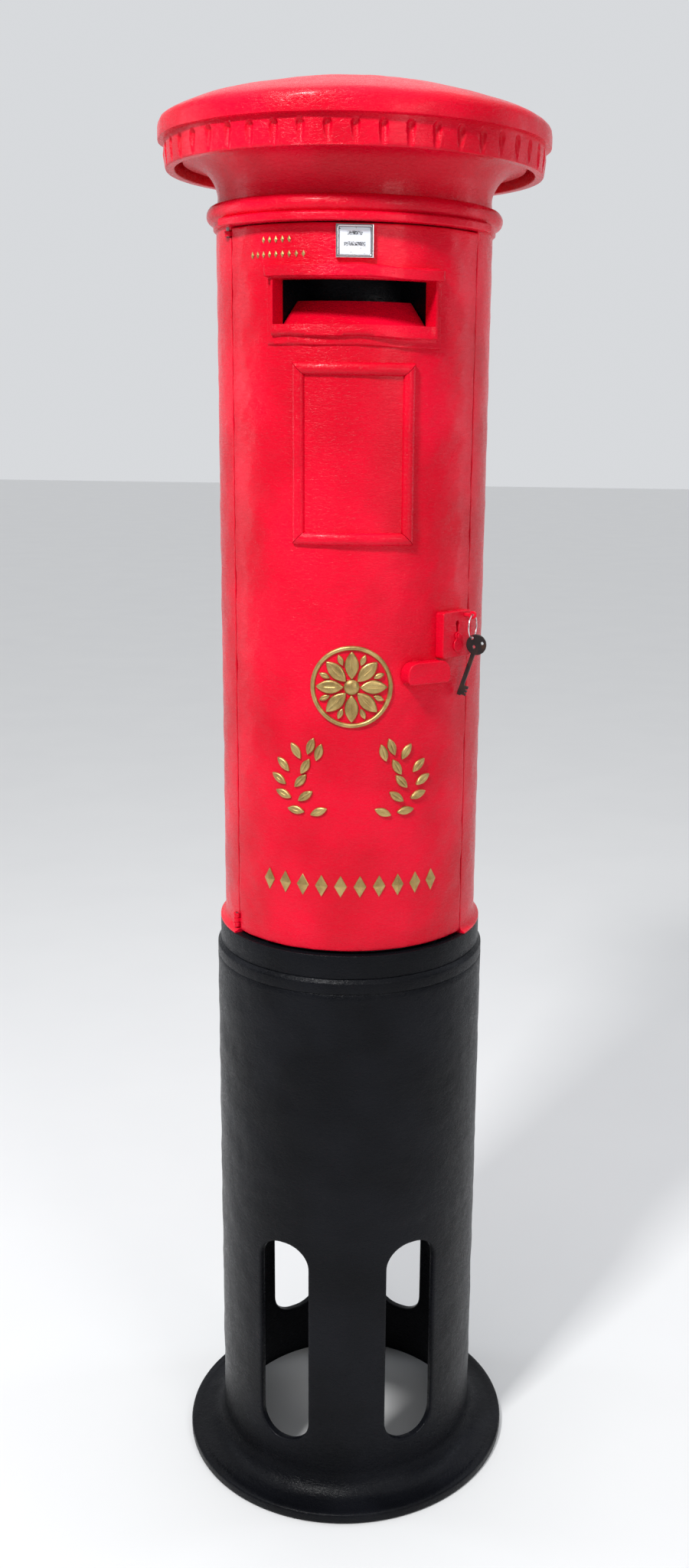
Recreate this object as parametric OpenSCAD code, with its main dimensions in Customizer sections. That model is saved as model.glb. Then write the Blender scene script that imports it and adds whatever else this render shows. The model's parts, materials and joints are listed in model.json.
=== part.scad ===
/* [Barrel] */
// Outer radius of the cylindrical barrel and its door
body_r = 190.5; // [150:0.5:240]
// Thickness of the barrel wall
shell_wall = 12; // [9:0.5:15]
// Height of the plain band at the foot of the barrel
band_h = 35; // [24:1:60]
// How far that band stands out past the barrel
band_out = 8; // [5:0.5:9]

/* [Pedestal] */
// Height of the foundation casting, from its sole to the barrel joint
pedestal_h = 868; // [640:1:1100]
// How far the pedestal stands out past the barrel
pedestal_out = 13; // [11:0.5:20]
// Thickness of the pedestal wall
pedestal_wall = 13; // [10:0.5:18]
// How far the foot flange stands out past the pedestal
foot_out = 56.5; // [40:0.5:80]
// Thickness of the foot flange
foot_t = 16; // [12:0.5:24]
// Radius of the cove between the flange and the wall
foot_cove = 32; // [20:1:38]
// Width of each hand window
window_w = 83; // [78:1:100]
// Height of each hand window
window_h = 344; // [200:1:420]
// Height of the window sills above the sole
window_z = 90; // [70:1:140]
// Radius of the window corners
window_corner = 38; // [12:1:38]
// Azimuth of the windows, either side of the front and of the back
window_a = 29; // [24:1:40]

/* [Door] */
// Height of the door leaf
door_h = 977; // [960:1:1250]
// Thickness of the door leaf
door_wall = 10; // [8:0.5:11]
// Azimuth of the door's two upright edges
door_half_a = 58.5; // [54:0.5:62]
// Gap round the upright edges of the leaf
door_gap = 1.5; // [1:0.1:2.5]
// Gap under the leaf
sill_gap = 5; // [3:0.5:8]
// Gap over the leaf
head_gap = 2; // [1.5:0.1:4]
// Radius of the hinge pins
pin_r = 2.5; // [2:0.1:3]
// Running clearance on the hinge pins, on the radius
pin_fit = 0.05; // [0.02:0.01:0.1]
// Radius of the hinge knuckles
knuckle_r = 5.5; // [5:0.1:6]

/* [Letter aperture] */
// Width of the letter slot
slot_w = 202; // [150:1:215]
// Height of the letter slot
slot_h = 56; // [36:1:60]
// From the top of the leaf down to the middle of the slot
slot_drop = 95; // [90:1:110]
// Width of the raised border round the slot, at the sides
border_w = 8; // [6:0.5:12]
// Height of the raised border under the slot
border_h = 15; // [10:1:18]
// How far the border stands out past the leaf
border_out = 9; // [6:0.5:12]
// Height of the drip hood over the slot
hood_h = 16; // [12:1:18]
// How far the drip hood stands out past the leaf
hood_out = 15; // [11:0.5:20]

/* [Notice frame] */
// Width of the notice frame
notice_w = 160; // [120:1:170]
// Height of the notice frame
notice_h = 235; // [160:1:260]
// Width of the half-round moulding
moulding_w = 17; // [12:0.5:20]
// From the top of the leaf down to the top of the frame
notice_drop = 169; // [165:1:190]

/* [Lock] */
// Azimuth of the lock
lock_a = 46; // [44:0.5:47]
// Height of the keyhole above the foot of the leaf
lock_rise = 461; // [300:1:600]
// Width of the lock boss
boss_w = 60; // [54:1:64]
// Height of the lock boss
boss_h = 64; // [58:1:76]
// Distance of the boss face past the leaf
boss_out = 12.5; // [9:0.5:16]
// Radius of the crank that throws the bolt
crank_r = 14; // [12:0.5:15]
// Running clearance inside the lock
lock_fit = 0.05; // [0.02:0.01:0.1]
// Mean radius of the split ring
ring_r = 16; // [12:0.5:18]
// Radius of the split ring's wire
ring_wire = 1.4; // [1:0.1:1.6]
// Length of the key
key_l = 91; // [70:1:96]

/* [Pull] */
// Azimuth of the door pull
pull_a = 31; // [28:0.5:33]
// Width of the door pull
pull_w = 70; // [60:1:76]
// Height of the door pull
pull_h = 36; // [32:1:42]
// How far the door pull stands out past the barrel
pull_out = 18; // [14:0.5:24]

/* [Ornament] */
// How far the gilt reliefs stand out past the leaf
relief_out = 4; // [2:0.5:6]
// Diameter of the rosette
rosette_d = 114; // [90:1:120]
// Height of the leaf sprays
spray_h = 125; // [100:1:130]

/* [Cornice and cap] */
// Radius of the hollow that carries the cap
cove_r = 44; // [34:1:52]
// How far the cap's rim stands out past the barrel
rim_out = 67; // [64:1:80]
// Thickness of the cap's rim
rim_t = 12; // [9:0.5:14]
// Height of the fluted frieze
frieze_h = 27; // [22:1:34]
// Number of flutes round the frieze
flute_n = 48; // [36:1:60]
// Height of the cap's plain lip
lip_h = 26; // [18:1:34]
// Rise of the dome above the lip
dome_h = 52; // [42:1:80]

/* [Hidden] */
$fn = 120;
eps = 0.1;            // overlap between pieces of one casting
fit = 0.4;            // clearance between pieces that are only dropped in
move_gap = 0.4;       // clearance between pieces that move past each other

pillar_red = [0.78, 0.02, 0.08];
pillar_black = [0.03, 0.03, 0.04];
gilt = [0.70, 0.50, 0.22];
bright = [0.80, 0.80, 0.82];
iron = [0.16, 0.14, 0.15];
steel = [0.55, 0.55, 0.57];
brass = [0.75, 0.60, 0.30];
enamel = [0.92, 0.93, 0.95];

// Levels, from the floor up
z_joint = pedestal_h;
z_sill = z_joint + band_h;
z_leaf0 = z_sill + sill_gap;
z_leaf1 = z_leaf0 + door_h;
z_lintel = z_leaf1 + head_gap;
bead_r = 11.7;
z_bead = z_lintel + 21;
z_neck = z_lintel + 44;
cove_lip = 5;
z_seat = z_neck + cove_r + cove_lip;
rim_drop = 15;
z_rim = z_seat - rim_drop;
z_frieze = z_rim + frieze_h;
chamfer_h = 10;
z_lip0 = z_frieze + chamfer_h;
z_lip1 = z_lip0 + lip_h;
z_top = z_lip1 + dome_h;

// Radii
shell_in = body_r - shell_wall;
leaf_in = body_r - door_wall;
band_r = body_r + band_out;
ped_r = body_r + pedestal_out;
ped_in = ped_r - pedestal_wall;
foot_r = ped_r + foot_out;
neck_r = body_r - 2;
cove_top_r = neck_r + cove_r;
rim_r = body_r + rim_out;
frieze_r = rim_r + 2.5;
lip_r = frieze_r + 8;
rim_in = rim_r - rim_t;

// Flanged joint between pedestal and barrel
joint_in = body_r - 40;
joint_t = 12;
ped_flange_t = 16;
joint_bolt_r = body_r - 25.5;
joint_bolt_n = 6;
bolt_r = 6;
bolt_head_r = 10;
bolt_head_h = 8;

// Flanged joint between barrel and cap
top_flange_t = 10;
top_flange_in = body_r - 36;
cap_bolt_at = body_r - 22.5;
cap_bolt_n = 4;
cap_seat_in = cove_top_r - 10;
cap_seat_out = cove_top_r + 5;
cap_wall = 14;
cap_boss_r = 16;

// Floor of the letter compartment
floor_t = 5;
floor_seat_t = 8;
floor_seat_w = 12.5;
floor_screw_at = shell_in - 7.5;
screw_r = 3;
head_h = 2.5;
head_r = 5.5;

// Hinge line
hinge_a = -(door_half_a + 2.5);
hinge_at = body_r + 0.5;
knuckle_h = 6.6;
knuckle_gap = 0.4;
hinge_h = 3 * knuckle_h + 2 * knuckle_gap;
z_low_hinge = z_leaf0 + 2.5;
z_top_knuckle = z_leaf1 - 10;
hinge_pad_t = 8;

// Drip ledge over the door
ledge_out = 15.5;
ledge_t = 11;
ledge_drip = 0.3;
ledge_a = door_half_a + 3.5;

// Door stop inside the jambs
stop_t = 8;
stop_gap = 0.5;
stop_lap = 7;
stop_lap_a = 2.5;
head_stop_a = 16;
stop_r1 = leaf_in - stop_gap;
stop_r0 = stop_r1 - stop_t;
gap_a = door_gap / body_r * 180 / PI;
jamb_a = door_half_a + gap_a;

// Letter aperture
z_slot = z_leaf1 - slot_drop;
throat_t = 3;
throat_in = leaf_in - 4.5;
step_w = 5;
step_h = 11;
step_out = 3;
baffle_t = 2.5;
baffle_run = 36;
baffle_rise = 33;
hood_t = 2;
hood_deep = 70;
hood_fall = 78;
hood_tab_a = 20;

// Notice frame
z_notice1 = z_leaf1 - notice_drop;
z_notice0 = z_notice1 - notice_h;
notice_t = 2;

// Collection tablet
tablet_w = 48;
tablet_h = 41;
tablet_edge = 3.5;
z_tablet = z_leaf1 - 1.5 - tablet_h / 2;
tablet_face = body_r + 2;

// Lock
z_key = z_leaf0 + lock_rise;
boss_n = body_r + boss_out;
boss_low = 44;
case_n1 = body_r - 16.5;
case_back_t = 4;
case_deep = 20;
case_wall = 3;
case_n0 = case_n1 - case_back_t - case_deep;
cover_t = 3;
case_s0 = -38;
case_s1 = 27;
case_low = -32;
case_high = 34;
bolt_n0 = case_n0 + 5;
bolt_n1 = bolt_n0 + 9;
bolt_low = -20;
bolt_high = -8.5;
bolt_travel = crank_r * sqrt(2);
bolt_tip = 30.2;
crank_rest = -45;
hub_r = 6;
journal_r = 5;
crank_pin_r = 2.4;
crank_pin_gap = 0.6;
lever_t = 1;
lever_n = 3;
lever_post = [-28.5, 14];
lever_post_r = 3;
strike_a0 = lock_a + 14.2;
strike_a1 = lock_a + 20;
strike_z0 = z_key - 42;
strike_z1 = z_key + 14;

// Door pull
z_pull = z_key - 63;
pull_scoop_r = 14;
pull_corner = 16;

// Keyhole cover, ring lug, ring and key
cover_pivot = -14;
cover_pin_r = 2;
cover_plate_t = 2;
lug_a = 20;
lug_s = 16;
lug_z = 14;
lug_out = 11;
lug_hole_r = ring_wire + move_gap;
lug_r = 5.5;
lug_t = 4;
key_hang_a = 18.5;
key_bow_r = 14.5;
key_t = 3;
key_hole_at = [-8.8, 6.6];
key_shaft_r = 3;
key_bit_w = 10;

// Ornament levels
z_rosette = z_leaf0 + 382.5;
z_spray = z_leaf0 + 247.5;
z_band = z_leaf0 + 97;
band_lozenge_n = 10;
band_half_a = 37;
leaf_l = 26;
leaf_w = 12;

// Letter guard
guard_y = -54;
guard_half_w = body_r - 52;
guard_rod = 4;
guard_bar = 2.5;
guard_bar_n = 11;
hook_a = 90 - asin(-guard_y / shell_in);
z_guard0 = z_sill + 30;
z_guard1 = z_slot - 90;
hook_rise = 60;

// ---------- helpers ----------

// Points along an arc in a section, from angle a0 to angle a1
function arc(c, r, a0, a1, n = 12) =
    [for (i = [0:n]) let (a = a0 + (a1 - a0) * i / n) [c[0] + r * cos(a), c[1] + r * sin(a)]];

// Half the azimuth that a straight width takes up at a radius
function half_a(w, r) = asin(w / 2 / r);

// Places children at an azimuth: +X runs round the barrel, -Y points outwards
module at_azimuth(a, z = 0) rotate([0, 0, a]) translate([0, 0, z]) children();

// Piece of a ring between two azimuths
module arc_band(r0, r1, a0, a1, z0, z1)
    rotate([0, 0, a0 - 90]) rotate_extrude(angle = a1 - a0)
        translate([r0, z0]) square([r1 - r0, z1 - z0]);

// Complete ring
module ring(r0, r1, z0, z1)
    rotate_extrude() translate([r0, z0]) square([r1 - r0, z1 - z0]);

// Block given by its spans round, out and up
module block(s, n, z)
    translate([s[0], -n[1], z[0]]) cube([s[1] - s[0], n[1] - n[0], z[1] - z[0]]);

// Rod along the outward direction
module rod_out(s, z, n0, n1, r) translate([s, -n0, z]) rotate([90, 0, 0]) cylinder(h = n1 - n0, r = r);

// Flat outline pushed outwards, with X round the barrel and Y up
module push_out(n0, n1) translate([0, -n0, 0]) rotate([90, 0, 0]) linear_extrude(n1 - n0) children();

module rounded_rect(w, h, r) {
    square([w - 2 * r, h], center = true);
    square([w, h - 2 * r], center = true);
    for (x = [-1, 1], y = [-1, 1]) translate([x * (w / 2 - r), y * (h / 2 - r)]) circle(r);
}

// Keeps only what lies on the outside of the leaf, up to a given height above it
module on_leaf(out) intersection() {
    children();
    arc_band(body_r, body_r + out, -door_half_a, door_half_a, z_leaf0, z_leaf1);
}

module at_hinge() at_azimuth(hinge_a) translate([0, -hinge_at, 0]) children();
module at_lock() at_azimuth(lock_a, z_key) children();
module round_place(n, a0 = 0) for (i = [0:n - 1]) rotate([0, 0, a0 + i * 360 / n]) children();

// ---------- pedestal ----------

module pedestal_section() {
    top_step = ped_r - band_r;
    polygon(concat(
        [[ped_in, 0], [foot_r, 0], [foot_r, foot_t]],
        arc([ped_r + foot_cove, foot_t + foot_cove], foot_cove, 270, 180),
        [[ped_r, z_joint - top_step - 1], [band_r, z_joint], [joint_in, z_joint],
         [joint_in, z_joint - ped_flange_t], [ped_in - 8, z_joint - ped_flange_t],
         [ped_in, z_joint - ped_flange_t - 8]]));
}

module pedestal() color(pillar_black) difference() {
    rotate_extrude() pedestal_section();
    for (a = [window_a, -window_a, 180 - window_a, 180 + window_a])
        at_azimuth(a, window_z + window_h / 2)
            push_out(ped_in - 30, ped_r + 10) rounded_rect(window_w, window_h, window_corner);
    round_place(joint_bolt_n, 30)
        translate([0, -joint_bolt_r, z_joint - 30]) cylinder(h = 60, r = bolt_r + fit);
}

// ---------- barrel ----------

module shell_section() {
    flare_r = 10;
    flare_c = [body_r + flare_r, z_sill + 12];
    flare_a = acos((band_r - flare_c[0]) / flare_r);
    inner_cove = cove_r + shell_wall - 2;
    inner_end = acos(-sqrt(1 - pow((cove_r - 5) / inner_cove, 2)));
    polygon(concat(
        [[joint_in, z_joint], [band_r, z_joint]],
        arc(flare_c, flare_r, 360 - flare_a, 180, 8),
        [[body_r, z_lintel + 1.5], [body_r + 4, z_lintel + 1.5], [body_r + 4, z_bead - bead_r * cos(14)]],
        arc([body_r + 1.5, z_bead], bead_r, -76, 90, 14),
        [[neck_r, z_bead + bead_r]],
        arc([cove_top_r, z_neck], cove_r, 180, 90),
        [[cove_top_r + 1.5, z_neck + cove_r], [cove_top_r + 1.5, z_seat],
         [top_flange_in, z_seat], [top_flange_in, z_seat - top_flange_t]],
        arc([cove_top_r, z_neck], inner_cove, inner_end, 180, 8),
        [[shell_in, z_sill - floor_t], [shell_in - floor_seat_w, z_sill - floor_t],
         [shell_in - floor_seat_w, z_sill - floor_t - floor_seat_t],
         [shell_in, z_sill - floor_t - floor_seat_t],
         [shell_in, z_joint + joint_t], [joint_in, z_joint + joint_t]]));
}

// Strips inside the jambs and the head that the leaf closes against
module side_stop(z0, z1) arc_band(stop_r0, stop_r1, door_half_a - stop_lap_a, jamb_a + 3, z0, z1);

module door_stop() {
    mirror([1, 0, 0]) side_stop(z_sill + 1, z_lintel + 4);
    side_stop(z_sill + 1, strike_z0 - fit);
    side_stop(strike_z1 + fit, z_lintel + 4);
    for (m = [0, 1]) mirror([m, 0, 0])
        arc_band(stop_r0 + 1, stop_r1 - 0.2, head_stop_a, jamb_a + 2, z_leaf1 - stop_lap, z_lintel + 5);
}

module hinge_notch(z0, z1)
    at_hinge() translate([-knuckle_r - 1, -15, z0]) cube([20, 15 + shell_wall + stop_t + 1, z1 - z0]);

module body_shell() color(pillar_red) difference() {
    union() {
        difference() {
            rotate_extrude() shell_section();
            arc_band(shell_in - 4, band_r + 10, -jamb_a, jamb_a, z_sill, z_lintel);
        }
        door_stop();
        arc_band(shell_in + 2, body_r + ledge_out, -ledge_a, ledge_a, z_lintel - ledge_drip,
            z_lintel + ledge_t);
    }
    hinge_notch(z_low_hinge - 2, z_low_hinge + hinge_h + 1);
    hinge_notch(z_top_knuckle - 1.5, z_top_knuckle + knuckle_h + 1);
    at_hinge() translate([0, 0, z_top_knuckle]) cylinder(h = z_lintel + 12 - z_top_knuckle, r = pin_r);
    round_place(joint_bolt_n, 30)
        translate([0, -joint_bolt_r, z_joint - 1]) cylinder(h = joint_t + 2, r = bolt_r + fit);
    round_place(cap_bolt_n, 45)
        translate([0, -cap_bolt_at, z_seat - 30]) cylinder(h = 60, r = bolt_r + fit);
    round_place(4, 45) translate([0, -floor_screw_at, z_sill - 20]) cylinder(h = 19, r = screw_r);
    hinge_screw_places() rod_out(0, 0, shell_in - 2, shell_in + 8, screw_r);
    strike_screw_places() rod_out(0, 0, shell_in - 2, shell_in + 8, screw_r);
    hook_places() rod_out(0, 0, shell_in - 2, shell_in + 8, screw_r);
}

module hinge_screw_places() for (z = [4.5, hinge_h - 4.5])
    at_azimuth(hinge_a - 7, z_low_hinge + z) children();

module strike_screw_places() for (z = [-34, 6])
    at_azimuth(strike_a1 + 4, z_key + z) children();

// ---------- cap ----------

module cap_section() {
    dome_R = (lip_r * lip_r + dome_h * dome_h) / (2 * dome_h);
    dome_z = z_top - dome_R;
    dome_a = acos(lip_r / dome_R);
    in_R = dome_R - cap_wall;
    in_a = acos(cap_seat_in / in_R);
    polygon(concat(
        [[rim_in, z_rim], [rim_r, z_rim], [frieze_r, z_frieze], [lip_r, z_lip0], [lip_r, z_lip1]],
        arc([0, dome_z], dome_R, dome_a, 90, 20),
        arc([0, dome_z], in_R, 90, in_a, 20),
        [[cap_seat_in, z_seat], [cap_seat_out, z_seat], [cap_seat_out, z_seat + 10],
         [rim_in, z_seat + 10]]));
}

module flute() {
    flute_r = 5.75;
    translate([0, -(frieze_r + 2), z_rim - 5]) {
        cylinder(h = frieze_h + 3, r = flute_r, $fn = 32);
        translate([0, 0, frieze_h + 3]) sphere(flute_r, $fn = 32);
    }
}

module cap() color(pillar_red) difference() {
    dome_R = (lip_r * lip_r + dome_h * dome_h) / (2 * dome_h);
    boss_top = z_top - dome_R + sqrt(pow(dome_R - cap_wall, 2) - pow(cap_bolt_at + cap_boss_r, 2));
    union() {
        rotate_extrude() cap_section();
        round_place(cap_bolt_n, 45)
            translate([0, -cap_bolt_at, z_seat]) cylinder(h = boss_top - z_seat + 6, r = cap_boss_r);
    }
    round_place(flute_n) flute();
    round_place(cap_bolt_n, 45) translate([0, -cap_bolt_at, z_seat - 1]) cylinder(h = 26, r = bolt_r);
}

// ---------- fasteners of the castings ----------

module hex_bolt(shank) {
    cylinder(h = shank + 1, r = bolt_r);
    translate([0, 0, shank]) cylinder(h = bolt_head_h, r = bolt_head_r, $fn = 6);
}

module cap_bolts() color(steel) round_place(cap_bolt_n, 45)
    translate([0, -cap_bolt_at, z_seat + 24]) mirror([0, 0, 1]) hex_bolt(24 + top_flange_t);

module base_bolts() color(steel) round_place(joint_bolt_n, 30)
    translate([0, -joint_bolt_r, z_joint + joint_t - 42]) hex_bolt(42);

module base_nuts() color(steel) round_place(joint_bolt_n, 30)
    translate([0, -joint_bolt_r, z_joint - ped_flange_t - bolt_head_h]) difference() {
        cylinder(h = bolt_head_h, r = bolt_head_r, $fn = 6);
        translate([0, 0, -1]) cylinder(h = bolt_head_h + 2, r = bolt_r);
    }

module floor_plate() color(steel) difference() {
    ring(40, shell_in - 0.5, z_sill - floor_t, z_sill);
    round_place(4, 45) translate([0, -floor_screw_at, z_sill - 20]) cylinder(h = 40, r = screw_r + fit);
}

module floor_screws() color(steel) round_place(4, 45) translate([0, -floor_screw_at, z_sill - 12]) {
    cylinder(h = 13, r = screw_r);
    translate([0, 0, 12]) cylinder(h = head_h, r = head_r);
}

// ---------- hinge ----------

module hinge_bracket() color(pillar_red) difference() {
    union() {
        at_hinge() {
            for (i = [0, 2]) translate([0, 0, z_low_hinge + i * (knuckle_h + knuckle_gap)]) {
                cylinder(h = knuckle_h, r = knuckle_r);
                translate([-knuckle_r, 0, 0]) cube([knuckle_r, 12, knuckle_h]);
            }
            translate([-knuckle_r, knuckle_r + 1, z_low_hinge])
                cube([knuckle_r - 0.5, shell_wall + hinge_pad_t - knuckle_r - 1, hinge_h]);
        }
        arc_band(shell_in - hinge_pad_t, shell_in, hinge_a - 12, hinge_a - 0.2,
            z_low_hinge, z_low_hinge + hinge_h);
    }
    at_hinge() translate([0, 0, z_low_hinge - 1]) cylinder(h = hinge_h + 2, r = pin_r);
    hinge_screw_places() rod_out(0, 0, shell_in - 20, shell_in + 5, screw_r + fit);
}

// Screw that enters a wall from inside, under a head that rests on the curved seat
module wall_screw(seat_n, bite) {
    rod_out(0, 0, seat_n - 1, seat_n + bite, screw_r);
    rod_out(0, 0, seat_n - head_h - eps, seat_n - eps, head_r);
}

module hinge_screws() color(steel)
    hinge_screw_places() wall_screw(shell_in - hinge_pad_t, hinge_pad_t + 6);

module lower_hinge_pin() color(steel)
    at_hinge() translate([0, 0, z_low_hinge - 0.5]) cylinder(h = hinge_h + 1, r = pin_r);

module upper_hinge_pin() color(steel)
    at_hinge() translate([0, 0, z_top_knuckle - 1]) cylinder(h = z_lintel + 11 - z_top_knuckle, r = pin_r);

// ---------- strike, letter guard ----------

module strike_plate() color(steel) difference() {
    pad_t = 6;
    union() {
        arc_band(body_r - 41, shell_in, strike_a0, strike_a1, z_key - 30, z_key + 2);
        arc_band(shell_in - pad_t, shell_in, strike_a0, strike_a1 + 8, strike_z0, strike_z1);
    }
    at_lock() block([30, bolt_tip + bolt_travel + 2], [bolt_n0 - 1, bolt_n1 + 1],
        [bolt_low - 1, bolt_high + 1]);
    strike_screw_places() rod_out(0, 0, shell_in - 20, shell_in + 5, screw_r + fit);
}

module strike_screws() color(steel) strike_screw_places() wall_screw(shell_in - 6, 6 + 6);

module hook_places() for (m = [0, 1], z = [z_guard0 + hook_rise, z_guard1 - hook_rise])
    mirror([m, 0, 0]) at_azimuth(hook_a + 6, z) children();

// Open-topped hooks on the barrel wall that carry the guard's cross rails
module guard_hooks() color(steel) for (m = [0, 1], z = [z_guard0 + hook_rise, z_guard1 - hook_rise])
    mirror([m, 0, 0]) {
        difference() {
            arc_band(shell_in - 4, shell_in, hook_a - 4, hook_a + 11, z - 12, z + 12);
            at_azimuth(hook_a + 6, z) rod_out(0, 0, shell_in - 20, shell_in + 5, screw_r + fit);
        }
        difference() {
            intersection() {
                translate([guard_half_w + guard_rod + 1.5, guard_y - 8, z - 12]) cube([60, 16, 16]);
                cylinder(h = 3000, r = shell_in - 1);
            }
            translate([guard_half_w, guard_y - guard_rod - move_gap, z - guard_rod - move_gap])
                cube([60, 2 * (guard_rod + move_gap), 40]);
        }
    }

module guard_frame() color(steel) {
    for (m = [-1, 1]) translate([m * guard_half_w, guard_y, z_guard0])
        cylinder(h = z_guard1 - z_guard0, r = guard_rod);
    for (z = [z_guard0 + guard_rod, z_guard1 - guard_rod])
        translate([-guard_half_w, guard_y, z]) rotate([0, 90, 0]) cylinder(h = 2 * guard_half_w, r = guard_rod - 0.5);
    for (z = [z_guard0 + hook_rise, z_guard1 - hook_rise])
        translate([-guard_half_w - 12, guard_y, z]) rotate([0, 90, 0])
            cylinder(h = 2 * guard_half_w + 24, r = guard_rod - 0.3);
}

module guard_bars() color(steel) for (i = [1:guard_bar_n])
    translate([-guard_half_w + i * 2 * guard_half_w / (guard_bar_n + 1), guard_y - guard_rod - guard_bar,
        z_guard0 + 1]) cylinder(h = z_guard1 - z_guard0 - 2, r = guard_bar);

// ---------- door ----------

module slot_cut(grow, r0, r1) {
    a = half_a(slot_w + 2 * grow, body_r);
    arc_band(r0, r1, -a, a, z_slot - slot_h / 2 - grow, z_slot + slot_h / 2 + grow);
}

module keyhole_outline(grow = 0) {
    translate([0, 3]) circle(3.6 + grow);
    translate([-2 - grow, -9 - grow]) square([4 + 2 * grow, 12 + grow]);
}

module door_lug(z) at_hinge() translate([0, 0, z]) difference() {
    union() {
        cylinder(h = knuckle_h, r = knuckle_r);
        translate([0, 1.5, 0]) cube([14, 6, knuckle_h]);
    }
    translate([0, 0, -1]) cylinder(h = knuckle_h + 2, r = pin_r + pin_fit);
}

module door_leaf() color(pillar_red) {
    door_lug(z_low_hinge + knuckle_h + knuckle_gap);
    door_lug(z_top_knuckle);
    difference() {
        union() {
            arc_band(leaf_in, body_r, -door_half_a, door_half_a, z_leaf0, z_leaf1);
            intersection() {
                at_lock() block([case_s0 + 2, case_s1 - 2], [case_n1, body_r], [case_low, case_high]);
                ring(leaf_in - 20, leaf_in + 5, z_key - 50, z_key + 50);
            }
        }
        slot_cut(throat_t + fit, leaf_in - 5, body_r + 5);
        block([-tablet_w / 2 + tablet_edge - fit, tablet_w / 2 - tablet_edge + fit],
            [leaf_in - 20, body_r + 5],
            [z_tablet - tablet_h / 2 + tablet_edge - fit, z_tablet + tablet_h / 2 - tablet_edge + fit]);
        at_lock() push_out(case_n1 - 5, body_r + 5) keyhole_outline(1);
        at_lock() lock_screw_places() rod_out(0, 0, case_n1 - 5, case_n1 + 8, 2);
        surround_screw_places() rod_out(0, 0, leaf_in - 5, body_r + 5, screw_r + fit);
        hood_screw_places() rod_out(0, 0, leaf_in - 5, leaf_in + 6, screw_r);
        pull_screw_places() rod_out(0, 0, leaf_in - 5, body_r + 5, screw_r + fit);
    }
}

// ---------- letter aperture ----------

module aperture_surround() color(pillar_red) difference() {
    frame_w = slot_w + 2 * border_w;
    frame_a = half_a(frame_w, body_r + border_out);
    step_a = half_a(frame_w + 2 * step_w, body_r + step_out);
    hood_a = half_a(frame_w + 2 * step_w, body_r + hood_out / 2);
    z_low = z_slot - slot_h / 2 - border_h;
    z_high = z_slot + slot_h / 2;
    union() {
        arc_band(body_r, body_r + step_out, -step_a, step_a, z_low - step_h, z_high + hood_h);
        arc_band(body_r, body_r + border_out, -frame_a, frame_a, z_low, z_high + hood_h - 2);
        arc_band(body_r, body_r + hood_out, -hood_a, hood_a, z_high + 1, z_high + hood_h);
        slot_cut(throat_t, throat_in, body_r + eps);
    }
    slot_cut(0, throat_in - 5, body_r + 20);
    surround_screw_places() rod_out(0, 0, body_r - 5, body_r + 6, screw_r);
}

module surround_screw_places() for (m = [-1, 1], z = [-slot_h / 2 - 8.5, slot_h / 2 + 8.5])
    at_azimuth(m * half_a(slot_w - 30, body_r), z_slot + z) children();

module surround_screws() color(steel)
    surround_screw_places() wall_screw(leaf_in, door_wall + 5);

// Plate behind the slot that slopes up and inwards
module letter_baffle() color(pillar_red) {
    a = half_a(slot_w + 2, body_r);
    z0 = z_slot - slot_h / 2 - 1;
    r1 = throat_in - 0.3;
    rotate([0, 0, -a - 90]) rotate_extrude(angle = 2 * a)
        polygon([[r1, z0], [r1 - baffle_run, z0 + baffle_rise],
            [r1 - baffle_run - baffle_t, z0 + baffle_rise - 1], [r1 - baffle_t, z0 - 4],
            [r1 - baffle_t, z0 - 28], [r1, z0 - 28]]);
}

// Sheet hood that turns letters down behind the baffle
module letter_hood() color(steel) difference() {
    a = half_a(slot_w + 2, body_r) + 2;
    z1 = z_slot + slot_h / 2 + throat_t + 1.5;
    r0 = leaf_in - hood_deep;
    r1 = leaf_in - head_h - 1;
    union() {
        arc_band(r0, r1, -a, a, z1, z1 + hood_t);
        arc_band(r0, r0 + hood_t, -a, a, z1 - hood_fall, z1 + 1);
        for (m = [0, 1]) mirror([m, 0, 0])
            arc_band(r0 + 1, r1 - 0.5, a - 1.2, a - 0.2, z1 - hood_fall + 0.5, z1 + 1);
        arc_band(r1 - 1, leaf_in, -hood_tab_a, hood_tab_a, z1 + 0.3, z1 + hood_t - 0.3);
        arc_band(leaf_in - hood_t, leaf_in, -hood_tab_a, hood_tab_a, z1 + 1, z1 + 16);
    }
    hood_screw_places() rod_out(0, 0, leaf_in - 10, leaf_in + 10, screw_r + fit);
}

module hood_screw_places() for (m = [-1, 1])
    at_azimuth(m * (hood_tab_a - 4), z_slot + slot_h / 2 + throat_t + 10.5) children();

module hood_screws() color(steel)
    hood_screw_places() wall_screw(leaf_in - hood_t, hood_t + 5);

// ---------- notice frame ----------

module notice_frame() color(pillar_red) on_leaf(20) {
    m = moulding_w / 2;
    a = half_a(notice_w - moulding_w, body_r);
    a_end = half_a(notice_w, body_r);
    for (z = [z_notice0 + m, z_notice1 - m])
        rotate([0, 0, -a_end - 90]) rotate_extrude(angle = 2 * a_end)
            intersection() {
                translate([body_r, z]) circle(m, $fn = 48);
                translate([body_r - eps, z - m]) square([m + 1, 2 * m]);
            }
    for (s = [-1, 1]) at_azimuth(s * a, z_notice0 + m)
        translate([0, -body_r, 0]) cylinder(h = notice_h - 2 * m, r = m, $fn = 48);
}

module notice_plate() color(pillar_red) {
    a = half_a(notice_w - 2 * moulding_w, body_r) - 0.25;
    arc_band(body_r, body_r + notice_t, -a, a, z_notice0 + moulding_w + 0.5, z_notice1 - moulding_w - 0.5);
}

// ---------- collection tablet ----------

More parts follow.
